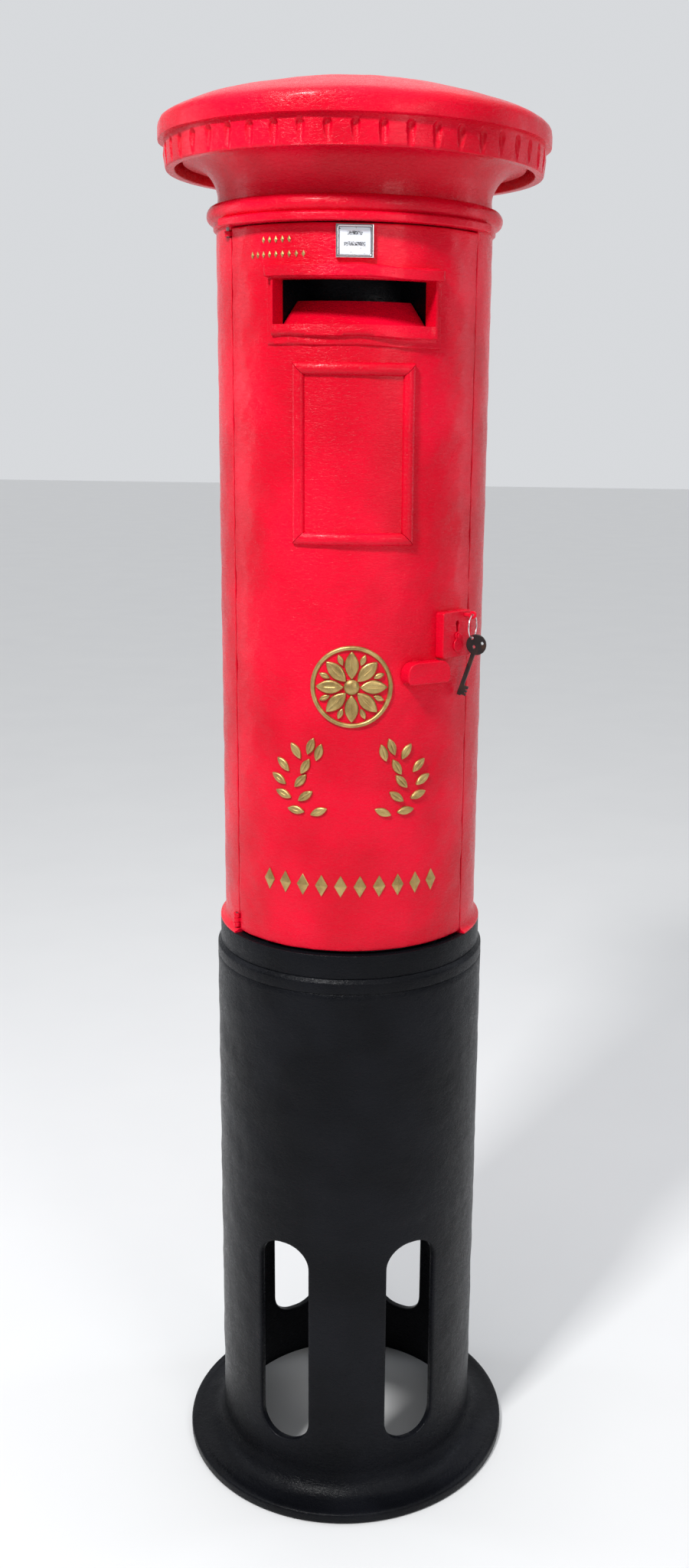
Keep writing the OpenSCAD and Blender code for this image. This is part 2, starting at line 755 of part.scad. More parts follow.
module tablet_bezel() color(bright) difference() {
    block([-tablet_w / 2, tablet_w / 2], [body_r - 3, tablet_face + 3],
        [z_tablet - tablet_h / 2, z_tablet + tablet_h / 2]);
    cylinder(h = 3000, r = body_r);
    block([-tablet_w / 2 + tablet_edge, tablet_w / 2 - tablet_edge], [0, 300],
        [z_tablet - tablet_h / 2 + tablet_edge, z_tablet + tablet_h / 2 - tablet_edge]);
}

// Tray that holds the enamel plate and is drawn inwards to change it
module tablet_carrier() color(steel) {
    w = tablet_w - 2 * tablet_edge - 2 * move_gap;
    h = tablet_h - 2 * tablet_edge - 2 * move_gap;
    block([-w / 2, w / 2], [leaf_in - 6, tablet_face - 2], [z_tablet - h / 2, z_tablet + h / 2]);
    block([-w / 2 - 5, w / 2 + 5], [leaf_in - 7, leaf_in - 3.5], [z_tablet - h / 2, z_tablet + h / 2]);
    block([-6, 6], [leaf_in - 22, leaf_in - 6], [z_tablet - 1.5, z_tablet + 1.5]);
}

module tablet_plate() color(enamel) {
    w = tablet_w - 2 * tablet_edge - 2 * move_gap;
    h = tablet_h - 2 * tablet_edge - 2 * move_gap;
    block([-w / 2, w / 2], [tablet_face - 2, tablet_face], [z_tablet - h / 2, z_tablet + h / 2]);
}

// ---------- pull ----------

module door_pull() color(pillar_red) difference() {
    at_azimuth(pull_a, z_pull) difference() {
        push_out(body_r - 8, body_r + pull_out) rounded_rect(pull_w, pull_h, pull_corner);
        translate([-pull_w, -body_r - 8, -pull_h / 2 - 5]) rotate([0, 90, 0])
            cylinder(h = 2 * pull_w, r = pull_scoop_r);
    }
    cylinder(h = 3000, r = body_r);
    pull_screw_places() rod_out(0, 0, body_r - 5, body_r + 10, screw_r);
}

module pull_screw_places() for (s = [-1, 1])
    at_azimuth(pull_a + s * 6, z_pull + 6) children();

module pull_screws() color(steel)
    pull_screw_places() wall_screw(leaf_in, door_wall + 8);

// ---------- lock ----------

module lock_screw_places() for (s = [case_s0 + 5.5, case_s1 - 5.5], z = [case_low + 5.5, case_high - 5.5])
    translate([s, 0, z]) children();

module lock_boss() color(pillar_red) difference() {
    at_lock() push_out(body_r - 12, boss_n) translate([0, boss_h / 2 - boss_low])
        rounded_rect(boss_w, boss_h, 4);
    cylinder(h = 3000, r = body_r);
    at_lock() {
        push_out(body_r - 20, boss_n + 5) keyhole_outline();
        rod_out(0, cover_pivot, boss_n - 6, boss_n + 1, cover_pin_r);
        rod_out(lug_s, lug_z, boss_n - 6, boss_n + 1, 2.5);
    }
}

module cover_pin() color(pillar_red) at_lock() {
    rod_out(0, cover_pivot, boss_n - 6, boss_n + 3, cover_pin_r);
    rod_out(0, cover_pivot, boss_n + cover_plate_t + 0.8, boss_n + cover_plate_t + 2.6, 4);
}

module keyhole_cover() color(pillar_red) at_lock() difference() {
    union() {
        rod_out(0, cover_pivot, boss_n + 0.4, boss_n + 0.4 + cover_plate_t, 6);
        rod_out(0, cover_pivot - 13, boss_n + 0.4, boss_n + 0.4 + cover_plate_t, 9.5);
    }
    rod_out(0, cover_pivot, boss_n - 1, boss_n + 5, cover_pin_r + pin_fit);
}

module lock_case() color(iron) at_lock() difference() {
    union() {
        difference() {
            block([case_s0, case_s1], [case_n0, case_n1], [case_low, case_high]);
            block([case_s0 + case_wall, case_s1 - case_wall], [case_n0 - 1, case_n1 - case_back_t],
                [case_low + case_wall, case_high - case_wall]);
        }
        for (s = [case_s0 + 5.5, case_s1 - 5.5], z = [case_low + 5.5, case_high - 5.5])
            rod_out(s, z, case_n0, case_n1 - 1, 4);
        rod_out(lever_post[0], lever_post[1], case_n0, case_n1 - 1, lever_post_r);
    }
    rod_out(0, 0, case_n0 - 1, case_n1 + 1, journal_r + lock_fit);
    lock_screw_places() rod_out(0, 0, case_n0 - 1, case_n1 + 1, 2);
    block([case_s1 - 10, case_s1 + 1], [bolt_n0 - move_gap, bolt_n1 + move_gap],
        [bolt_low - move_gap, bolt_high + move_gap]);
}

module lock_cover() color(iron) at_lock() difference() {
    block([case_s0, case_s1], [case_n0 - cover_t, case_n0], [case_low, case_high]);
    rod_out(0, 0, case_n0 - cover_t - 1, case_n0 + 1, journal_r + lock_fit);
    lock_screw_places() rod_out(0, 0, case_n0 - cover_t - 1, case_n0 + 1, 2 + fit);
}

module lock_screws() color(steel) at_lock() lock_screw_places() {
    rod_out(0, 0, case_n0 - cover_t - eps, case_n1 + 6, 2);
    rod_out(0, 0, case_n0 - cover_t - 2, case_n0 - cover_t, 3.8);
}

function crank_at(a) = [crank_r * sin(a), -crank_r * cos(a)];

module lock_bolt() color(steel) at_lock() {
    pin_at = crank_at(crank_rest);
    slot_half = crank_pin_r + crank_pin_gap;
    difference() {
        block([-24, bolt_tip], [bolt_n0, bolt_n1], [bolt_low, bolt_high]);
        block([pin_at[0] - slot_half, pin_at[0] + slot_half], [bolt_n0 - 1, bolt_n1 + 1],
            [bolt_low + 2.5, bolt_high + 1]);
    }
}

module lock_cam() color(brass) at_lock() difference() {
    pin_at = crank_at(crank_rest);
    union() {
        rod_out(0, 0, case_n0 - cover_t, case_n1, journal_r);
        rod_out(0, 0, case_n0 + move_gap, case_n1 - case_back_t - move_gap, hub_r);
        rod_out(pin_at[0], pin_at[1], bolt_n0 + 1, bolt_n1 + 2, crank_pin_r);
        rotate([0, -crank_rest, 0])
            block([-4, 4], [bolt_n1 + 0.8, case_n1 - case_back_t - move_gap], [-crank_r - 3.5, 0]);
    }
    push_out(case_n0 - cover_t - 1, case_n1 + 1) translate([-1.2, -4]) square([2.4, 7]);
}

module lock_levers() color(brass) at_lock() for (i = [0:lever_n - 1])
    translate([0, -(case_n0 + 0.6 + i * (lever_t + 0.4)), 0]) rotate([90, 0, 0]) linear_extrude(lever_t)
        difference() {
            union() {
                translate(lever_post) circle(6);
                translate([lever_post[0], 8.5]) square([46, 9]);
            }
            translate(lever_post) circle(lever_post_r + lock_fit);
            translate([-10 + 5 * i, 15]) square([4, 5]);
        }

// ---------- ring and key ----------

module ring_lug() color(pillar_red) {
    at_lock() rod_out(lug_s, lug_z, boss_n - 6, boss_n + 1, 2.5);
    difference() {
        union() {
            at_ring_top() translate([-lug_t / 2, 0, 0]) rotate([0, 90, 0]) cylinder(h = lug_t, r = lug_r);
            at_ring_top() translate([-lug_t / 2, 0, -2.4]) cube([lug_t, lug_out + 5, 4.8]);
        }
        at_ring_top() translate([-10, 0, 0]) rotate([0, 90, 0]) cylinder(h = 20, r = lug_hole_r);
        at_lock() block([-40, 60], [boss_n - 30, boss_n], [-40, 60]);
    }
}

module at_ring_top() at_lock() translate([lug_s, -boss_n, lug_z]) rotate([0, 0, lug_a])
    translate([0, -lug_out, 0]) children();

module split_ring() color(bright) at_ring_top() translate([0, 0, -ring_r])
    rotate([90, 0, 0]) rotate_extrude() translate([ring_r, 0]) circle(ring_wire, $fn = 24);

// Key outline in its own plane, with the shaft straight down from the middle of the bow
module key_outline() difference() {
    union() {
        circle(key_bow_r);
        translate([-key_shaft_r, key_bow_r - key_l]) square([2 * key_shaft_r, key_l - key_bow_r]);
        translate([0, key_bow_r - key_l + 2]) square([key_bit_w, 14]);
    }
    translate(key_hole_at) circle(ring_wire + 1);
    translate([-2, -4]) circle(2.2);
    translate([7.5, 5]) circle(2.2);
    for (y = [5, 10]) translate([key_shaft_r + 4, key_bow_r - key_l + y]) square([8, 2]);
}

module door_key() color(iron) at_ring_top() translate([0, 0, -2 * ring_r])
    rotate([0, 0, -90]) rotate([0, key_hang_a, 0]) translate([-key_hole_at[0], 0, -key_hole_at[1]])
        rotate([90, 0, 0]) translate([0, 0, -key_t / 2]) linear_extrude(key_t) key_outline();

// ---------- ornament ----------

module petal(l, w) {
    lens_r = (l * l / 4 + w * w / 4) / w;
    intersection() {
        translate([lens_r - w / 2, l / 2]) circle(lens_r);
        translate([w / 2 - lens_r, l / 2]) circle(lens_r);
    }
}

module rosette() color(gilt) on_leaf(relief_out + 2) at_azimuth(0, z_rosette) {
    n0 = body_r - 12;
    push_out(n0, body_r + relief_out) difference() {
        circle(rosette_d / 2);
        circle(rosette_d / 2 - 6);
    }
    push_out(n0, body_r + relief_out) for (i = [0:7]) rotate(i * 45) translate([0, 12]) petal(37, 19);
    rod_out(0, 0, n0, body_r + relief_out + 2, 11);
}

// One spray: leaves in pairs along a stem bowed away from the middle of the door
module spray_leaf(a, z, turn, l, w) at_azimuth(a, z)
    push_out(body_r - 6, body_r + relief_out) rotate(turn) translate([0, -l / 2]) petal(l, w);

module leaf_sprays() color(gilt) on_leaf(relief_out) for (m = [0, 1]) mirror([m, 0, 0]) {
    rows = 5;
    for (i = [0:rows - 1]) {
        t = i / (rows - 1);
        a = 10 + 16 * sin(30 + 120 * t);
        z = z_spray - spray_h / 2 + 16 + t * (spray_h - 40);
        spray_leaf(a - 4.5, z + 4, 67 - 50 * t, leaf_l, leaf_w);
        spray_leaf(a + 5.5, z + 4, 50 * t - 83, leaf_l, leaf_w);
    }
    spray_leaf(17, z_spray + spray_h / 2 - 12, 20, leaf_l, leaf_w);
}

module lozenge_band() color(gilt) on_leaf(relief_out - 1) for (i = [0:band_lozenge_n - 1])
    at_azimuth(-band_half_a + i * 2 * band_half_a / (band_lozenge_n - 1), z_band)
        push_out(body_r - 6, body_r + relief_out) polygon([[-9, 0], [0, -16], [9, 0], [0, 16]]);

module pip_rows() color(gilt) on_leaf(1.5) for (row = [[5, z_leaf1 - 19], [9, z_leaf1 - 37]])
    for (i = [0:row[0] - 1]) at_azimuth(-32 + (i - (row[0] - 1) / 2) * 3, row[1])
        push_out(body_r - 6, body_r + 3) polygon([[-2.6, 0], [0, -4.5], [2.6, 0], [0, 4.5]]);

// ---------- nodes ----------

pedestal();
body_shell();
cap();
cap_bolts();
base_bolts();
base_nuts();
floor_plate();
floor_screws();
hinge_bracket();
hinge_screws();
lower_hinge_pin();
upper_hinge_pin();
strike_plate();
strike_screws();
guard_hooks();
guard_frame();
guard_bars();
door_leaf();
aperture_surround();
surround_screws();
letter_baffle();
letter_hood();
hood_screws();
notice_frame();
notice_plate();
tablet_bezel();
tablet_carrier();
tablet_plate();
door_pull();
pull_screws();
lock_boss();
ring_lug();
cover_pin();
keyhole_cover();
lock_case();
lock_cover();
lock_screws();
lock_bolt();
lock_cam();
lock_levers();
rosette();
leaf_sprays();
lozenge_band();
pip_rows();
split_ring();
door_key();
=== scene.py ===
"""The looks of a round cast-iron letter box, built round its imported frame.

Every piece is in metres in the frame's own axes: +Z is up and the door faces -Y.
Azimuths are in degrees, 0 at the middle of the door and growing towards +X.
"""

import json
import logging
import math
from collections.abc import Sequence
from dataclasses import dataclass
from enum import Enum

import bmesh
import bpy
import numpy as np
from mathutils import Matrix, Vector


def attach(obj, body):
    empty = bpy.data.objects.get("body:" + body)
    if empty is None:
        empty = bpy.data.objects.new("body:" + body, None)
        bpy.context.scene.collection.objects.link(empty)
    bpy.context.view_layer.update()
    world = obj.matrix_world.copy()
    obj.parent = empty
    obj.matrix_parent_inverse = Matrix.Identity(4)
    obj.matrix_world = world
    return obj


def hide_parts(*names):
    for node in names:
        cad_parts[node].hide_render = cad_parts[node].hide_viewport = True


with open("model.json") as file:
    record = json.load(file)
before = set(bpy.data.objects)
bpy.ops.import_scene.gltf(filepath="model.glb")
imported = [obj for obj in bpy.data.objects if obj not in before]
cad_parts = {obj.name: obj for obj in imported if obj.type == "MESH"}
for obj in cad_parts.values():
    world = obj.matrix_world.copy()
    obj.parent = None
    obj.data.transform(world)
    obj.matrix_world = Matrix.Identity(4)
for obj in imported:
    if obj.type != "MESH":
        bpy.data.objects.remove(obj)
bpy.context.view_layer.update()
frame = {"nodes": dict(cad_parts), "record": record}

LOG = logging.getLogger("letter_box")
MM = 0.001
BODY_R = 190.5 * MM
Array = np.ndarray


class Body(Enum):
    """The bodies of the frame that new pieces ride on."""

    POST = "post"
    DOOR = "door"
    TABLET = "tablet"
    COVER = "keyhole_cover"
    RING = "split_ring"
    KEY = "door_key"


class Slot(Enum):
    """The record's material slots."""

    RED = "red_paint"
    BLACK = "black_paint"
    GILT = "gilt_paint"
    BRIGHT = "bright_metal"
    ENAMEL = "enamel"
    STEEL = "plain_steel"
    IRON = "dark_iron"
    BRASS = "brass"


# ---------------------------------------------------------------- finishes


class Graph:
    """A material's node tree, with short calls for the nodes that the finishes share."""

    def __init__(self, name: str) -> None:
        """Makes an empty material whose shader is a Principled one.

        Args:
            name: Name of the material.
        """
        self.material = bpy.data.materials.new(name)
        self.material.use_nodes = True
        self.tree = self.material.node_tree
        self.tree.nodes.clear()
        self.shader = self.tree.nodes.new("ShaderNodeBsdfPrincipled")
        end = self.tree.nodes.new("ShaderNodeOutputMaterial")
        self.tree.links.new(self.shader.outputs[0], end.inputs["Surface"])
        place = self.tree.nodes.new("ShaderNodeTexCoord")
        self.place = place.outputs["Object"]

    def put(self, value: object, socket: bpy.types.NodeSocket) -> None:
        """Links a socket to another, or sets it to a number or colour."""
        if isinstance(value, bpy.types.NodeSocket):
            self.tree.links.new(value, socket)
        else:
            socket.default_value = value

    def sets(self, **values: object) -> None:
        """Sets or links the shader's inputs, whose names are given with _ for a space."""
        for name, value in values.items():
            self.put(value, self.shader.inputs[name.replace("_", " ")])

    def stretched(self, x: float, y: float, z: float) -> bpy.types.NodeSocket:
        """Gives the object's coordinates scaled along each axis."""
        node = self.tree.nodes.new("ShaderNodeMapping")
        node.inputs["Scale"].default_value = (x, y, z)
        self.tree.links.new(self.place, node.inputs["Vector"])
        return node.outputs[0]

    def noise(
        self,
        scale: float,
        detail: float = 2.0,
        rough: float = 0.5,
        where: bpy.types.NodeSocket | None = None,
        warp: float = 0.0,
    ) -> bpy.types.NodeSocket:
        """Adds a noise.

        Args:
            scale: Waves in a metre.
            detail: Number of finer layers.
            rough: Strength of the finer layers.
            where: Coordinates, or None for the object's own.
            warp: How much the noise folds over itself.

        Returns:
            The noise's value.
        """
        node = self.tree.nodes.new("ShaderNodeTexNoise")
        self.tree.links.new(where or self.place, node.inputs["Vector"])
        node.inputs["Scale"].default_value = scale
        node.inputs["Detail"].default_value = detail
        node.inputs["Roughness"].default_value = rough
        node.inputs["Distortion"].default_value = warp
        return node.outputs["Fac"]

    def spots(self, scale: float, where: bpy.types.NodeSocket | None = None) -> bpy.types.NodeSocket:
        """Gives the distance to the nearest of scattered points."""
        node = self.tree.nodes.new("ShaderNodeTexVoronoi")
        self.tree.links.new(where or self.place, node.inputs["Vector"])
        node.inputs["Scale"].default_value = scale
        return node.outputs["Distance"]

    def spread(
        self, value: bpy.types.NodeSocket, low: float, high: float, to_low: float, to_high: float
    ) -> bpy.types.NodeSocket:
        """Maps a value from one range to another with soft ends.

        Args:
            value: The value.
            low: Where the change starts.
            high: Where it ends.
            to_low: Result at the start.
            to_high: Result at the end.

        Returns:
            The mapped value.
        """
        node = self.tree.nodes.new("ShaderNodeMapRange")
        node.interpolation_type = "SMOOTHSTEP"
        self.tree.links.new(value, node.inputs["Value"])
        for name, number in (("From Min", low), ("From Max", high), ("To Min", to_low), ("To Max", to_high)):
            node.inputs[name].default_value = number
        return node.outputs[0]

    def sums(self, kind: str, a: object, b: object) -> bpy.types.NodeSocket:
        """Adds an arithmetic node of a kind such as ADD or MULTIPLY."""
        node = self.tree.nodes.new("ShaderNodeMath")
        node.operation = kind
        self.put(a, node.inputs[0])
        self.put(b, node.inputs[1])
        return node.outputs[0]

    def axis(self, name: str) -> bpy.types.NodeSocket:
        """Gives one of the object's coordinates, X, Y or Z."""
        node = self.tree.nodes.new("ShaderNodeSeparateXYZ")
        self.tree.links.new(self.place, node.inputs[0])
        return node.outputs[name]

    def blend(self, share: object, a: object, b: object) -> bpy.types.NodeSocket:
        """Mixes two colours by a share."""
        node = self.tree.nodes.new("ShaderNodeMix")
        node.data_type = "RGBA"
        self.put(share, node.inputs["Factor"])
        self.put(a, node.inputs[6])
        self.put(b, node.inputs[7])
        return node.outputs[2]

    def bump(
        self,
        height: bpy.types.NodeSocket,
        strength: float,
        depth: float,
        under: bpy.types.NodeSocket | None = None,
    ) -> bpy.types.NodeSocket:
        """Adds a bump on top of another.

        Args:
            height: The height field.
            strength: Share of the effect.
            depth: Depth in metres.
            under: The bump below, if there is one.

        Returns:
            The bent normal.
        """
        node = self.tree.nodes.new("ShaderNodeBump")
        node.inputs["Strength"].default_value = strength
        node.inputs["Distance"].default_value = depth
        self.tree.links.new(height, node.inputs["Height"])
        if under is not None:
            self.tree.links.new(under, node.inputs["Normal"])
        return node.outputs[0]


Colour = tuple[float, float, float, float]


@dataclass(frozen=True)
class GlossPaint:
    """Many brushed coats of gloss paint over a sand-cast surface."""

    name: str
    deep: Colour
    fresh: Colour
    worn: Colour
    low_gloss: float = 0.36
    high_gloss: float = 0.17
    lump: float = 0.55
    shine: float = 0.17
    coat: float = 0.06

    def material(self) -> bpy.types.Material:
        """Makes the paint: lumps, wrinkles, orange peel, pits and small changes of gloss."""
        g = Graph(self.name)
        body = g.noise(46, 2.5, 0.5, warp=0.6)
        ripples = g.noise(135, 3.5, 0.6, g.stretched(1, 1, 2.4), warp=1.3)
        peel = g.noise(620, 2.0, 0.6)
        runs = g.noise(95, 1.5, 0.5, g.stretched(1, 1, 0.12))
        pits = g.spread(g.spots(75), 0.03, 0.14, 0.0, 1.0)
        patch = g.noise(7, 2.0, 0.5)
        n = g.bump(body, self.lump * 0.8, 1.5 * MM)
        n = g.bump(ripples, self.lump * 1.7, 0.9 * MM, n)
        n = g.bump(runs, self.lump * 0.35, 0.8 * MM, n)
        n = g.bump(pits, 0.35, 0.25 * MM, n)
        n = g.bump(peel, 0.22, 0.09 * MM, n)
        shade = g.blend(g.spread(patch, 0.35, 0.68, 0.0, 1.0), self.deep, self.fresh)
        scuffs = g.spread(g.noise(210, 6.0, 0.7, warp=0.8), 0.70, 0.80, 0.0, 0.55)
        g.sets(
            Base_Color=g.blend(scuffs, shade, self.worn),
            Roughness=g.spread(ripples, 0.25, 0.75, self.high_gloss, self.low_gloss),
            Normal=n,
            Specular_IOR_Level=self.shine,
            Coat_Weight=self.coat,
            Coat_Roughness=0.12,
            Coat_IOR=1.5,
        )
        return g.material


@dataclass(frozen=True)
class GiltPaint:
    """Gold bronze paint on a raised casting."""

    name: str = "gilt"

    def material(self) -> bpy.types.Material:
        """Makes the gilding: metallic flakes, brush marks and brown patches scattered at random."""
        g = Graph(self.name)
        flakes = g.noise(1500, 2.0, 0.7)
        strokes = g.noise(260, 3.0, 0.6, g.stretched(1, 1, 0.4), warp=0.5)
        patch = g.noise(60, 2.0)
        n = g.bump(strokes, 0.5, 0.25 * MM)
        n = g.bump(flakes, 0.3, 0.05 * MM, n)
        tone = g.blend(g.spread(patch, 0.35, 0.65, 0, 1), (0.36, 0.23, 0.075, 1), (0.54, 0.38, 0.14, 1))
        tone = g.blend(g.spread(flakes, 0.45, 0.75, 0, 0.6), tone, (0.72, 0.58, 0.30, 1))
        g.sets(
            Base_Color=tone,
            Metallic=0.85,
            Roughness=g.spread(strokes, 0.25, 0.75, 0.32, 0.52),
            Normal=n,
        )
        return g.material


@dataclass(frozen=True)
class Metal:
    """Bare or plated metal with scratches, grain and stains."""

    name: str
    clean: Colour
    stained: Colour
    smooth: float
    dull: float
    stain: float = 0.45
    grain: float = 0.25

    def material(self) -> bpy.types.Material:
        """Makes the metal: fine scratches over a stained ground."""
        g = Graph(self.name)
        stain = g.noise(90, 4.0, 0.6, warp=0.7)
        grain = g.noise(900, 3.0, 0.65)
        scratches = g.noise(500, 2.0, 0.5, g.stretched(0.08, 1, 1))
        n = g.bump(grain, self.grain, 0.06 * MM)
        n = g.bump(scratches, self.grain, 0.04 * MM, n)
        g.sets(
            Base_Color=g.blend(g.spread(stain, self.stain, 0.75, 0, 1), self.clean, self.stained),
            Metallic=0.95,
            Roughness=g.spread(stain, 0.3, 0.75, self.smooth, self.dull),
            Normal=n,
        )
        return g.material


@dataclass(frozen=True)
class WornEnamel:
    """White vitreous enamel with worn black print left as plain bars and blots."""

    centre_z: float
    bar_h: float = 4.6 * MM
    name: str = "enamel"

    def material(self) -> bpy.types.Material:
        """Makes the enamel: white glass, two rubbed bars and black chips scattered over the face."""
        g = Graph(self.name)
        up = g.sums("SUBTRACT", g.axis("Z"), self.centre_z)
        ragged = g.sums("MULTIPLY", g.sums("SUBTRACT", g.noise(420, 3.0, 0.6), 0.5), 4.5 * MM)
        bars: bpy.types.NodeSocket | None = None
        for level, reach in ((9.5 * MM, 9.5 * MM), (-3.5 * MM, 13.5 * MM)):
            off = g.sums("ABSOLUTE", g.sums("SUBTRACT", g.sums("ADD", up, ragged), level), 0.0)
            side = g.sums("ABSOLUTE", g.sums("ADD", g.axis("X"), ragged), 0.0)
            bar = g.sums(
                "MULTIPLY",
                g.spread(off, self.bar_h * 0.42, self.bar_h * 0.58, 1, 0),
                g.spread(side, reach - 0.5 * MM, reach, 1, 0),
            )
            bars = bar if bars is None else g.sums("MAXIMUM", bars, bar)
        rubbed = g.spread(g.noise(520, 3.0, 0.7, warp=1.0), 0.42, 0.56, 0.15, 1.0)
        chips = g.spread(g.noise(150, 4.0, 0.65, warp=0.8), 0.64, 0.69, 0.0, 1.0)
        ink = g.sums("MAXIMUM", g.sums("MULTIPLY", bars, rubbed), chips)
        ground = g.blend(g.noise(60, 3.0), (0.70, 0.76, 0.84, 1), (0.90, 0.93, 0.96, 1))
        g.sets(
            Base_Color=g.blend(ink, ground, (0.012, 0.012, 0.015, 1)),
            Roughness=g.spread(ink, 0, 1, 0.12, 0.4),
            Normal=g.bump(g.noise(130, 2.0), 0.25, 0.2 * MM),
            Coat_Weight=0.5,
            Coat_Roughness=0.05,
        )
        return g.material


RED_PAINT = GlossPaint(
    "red_gloss", (0.64, 0.0012, 0.017, 1), (0.83, 0.0022, 0.028, 1), (0.46, 0.0010, 0.012, 1)
)
BLACK_PAINT = GlossPaint(
    "black_gloss",
    (0.0035, 0.0038, 0.0052, 1),
    (0.0065, 0.0070, 0.0095, 1),
    (0.020, 0.022, 0.028, 1),
    low_gloss=0.42,
    high_gloss=0.22,
    lump=0.5,
    shine=0.10,
    coat=0.0,
)
TABLET_Z = 1863.0 * MM


class Palette:
    """Makes each finish's material once and gives it by slot."""

    def __init__(self) -> None:
        """Makes the materials."""
        self.by_slot = {
            Slot.RED: RED_PAINT.material(),
            Slot.BLACK: BLACK_PAINT.material(),
            Slot.GILT: GiltPaint().material(),
            Slot.BRIGHT: Metal(
                "bright_plate", (0.78, 0.78, 0.80, 1), (0.45, 0.43, 0.42, 1), 0.12, 0.32
            ).material(),
            Slot.ENAMEL: WornEnamel(TABLET_Z).material(),
            Slot.STEEL: Metal(
                "dull_steel", (0.42, 0.42, 0.43, 1), (0.23, 0.21, 0.19, 1), 0.3, 0.5
            ).material(),
            Slot.IRON: Metal(
                "brown_iron", (0.055, 0.045, 0.045, 1), (0.10, 0.055, 0.04, 1), 0.28, 0.5, 0.5, 0.4
            ).material(),
            Slot.BRASS: Metal(
                "aged_brass", (0.58, 0.42, 0.17, 1), (0.30, 0.20, 0.09, 1), 0.22, 0.45
            ).material(),
        }


# ---------------------------------------------------------------- mesh making


def polar(azimuth: Array, radius: Array, z: Array) -> Array:
    """Turns azimuth in degrees, radius and height into points."""
    a = np.radians(azimuth)
    a, radius, z = np.broadcast_arrays(a, radius, z)
    return np.stack([radius * np.sin(a), -radius * np.cos(a), z], axis=-1)


def half_azimuth(width: float, radius: float) -> float:
    """Half the azimuth that a straight width takes up at a radius."""
    return math.degrees(math.asin(width / 2 / radius))


def arc(centre: Sequence[float], radius: float, start: float, end: float, steps: int) -> list[list[float]]:
    """Points along an arc in a section, with the angles in degrees."""
    angles = np.radians(np.linspace(start, end, steps + 1))
    return [[centre[0] + radius * math.cos(a), centre[1] + radius * math.sin(a)] for a in angles]


def eased(points: Sequence[Sequence[float]], reach: float, steps: int = 3) -> Array:
    """Rounds the corners of a closed section.

    Args:
        points: Corners in order.
        reach: How far the rounding runs along each side.
        steps: Number of short sides at each corner.

    Returns:
        The rounded section.
    """
    p = np.array(points, float)
    before, after = np.roll(p, 1, axis=0), np.roll(p, -1, axis=0)
    out = []
    for a, b, c in zip(before, p, after, strict=True):
        to_a, to_c = np.linalg.norm(a - b), np.linalg.norm(c - b)
        start = b + (a - b) / to_a * min(reach, 0.4 * to_a)
        end = b + (c - b) / to_c * min(reach, 0.4 * to_c)
        for t in np.linspace(0, 1, steps + 1):
            out.append((1 - t) ** 2 * start + 2 * t * (1 - t) * b + t * t * end)
    return np.array(out)


def ruled(low: float, high: float, step: float, marks: Sequence[float] = (), clear: float = 2.0) -> Array:
    """Even lines between two limits that also pass through given marks.

    Args:
        low: First line.
        high: Last line.
        step: Distance between even lines.
        marks: Lines that must be there.
        clear: No even line is nearer to a mark than this.

    Returns:
        The sorted lines.
    """
    fixed = sorted({round(m, 9) for m in marks if low < m < high} | {low, high})
    even = np.linspace(low, high, max(2, round((high - low) / step) + 1))
    kept = [e for e in even if min(abs(e - f) for f in fixed) > clear]
    return np.array(sorted(kept + fixed))


def around(position: float, reach: float, count: int = 5) -> list[float]:
    """A few close lines across a step in a relief."""
    return [float(x) for x in np.linspace(position - reach, position + reach, count)]


@dataclass(frozen=True)
class CastSkin:
    """The slow waves that a sand mould and many coats of paint leave on a round wall."""

    seed: int
    depth: float
    shortest: float = 16 * MM
    longest: float = 90 * MM
    waves: int = 26

    def height(self, azimuth: Array, z: Array) -> Array:
        """Gives the height of the skin.

        Args:
            azimuth: Azimuths in degrees.
            z: Heights, which broadcast with the azimuths.

        Returns:
            Heights in metres, within about twice the depth.
        """
        rng = np.random.default_rng(self.seed)
        total = np.zeros(np.broadcast_shapes(np.shape(azimuth), np.shape(z)))
        weight = 0.0
        for _ in range(self.waves):
            length = self.shortest * (self.longest / self.shortest) ** rng.random()
            lean, phase = rng.random() * math.pi, rng.random() * 2 * math.pi
            turns = round(2 * math.pi * BODY_R / length * math.cos(lean))
            rise = 2 * math.pi / length * math.sin(lean)
            share = math.sqrt(length)
            total = total + share * np.sin(np.radians(azimuth) * turns + z * rise + phase)
            weight += share**2
        return self.depth * total / math.sqrt(weight / 2)


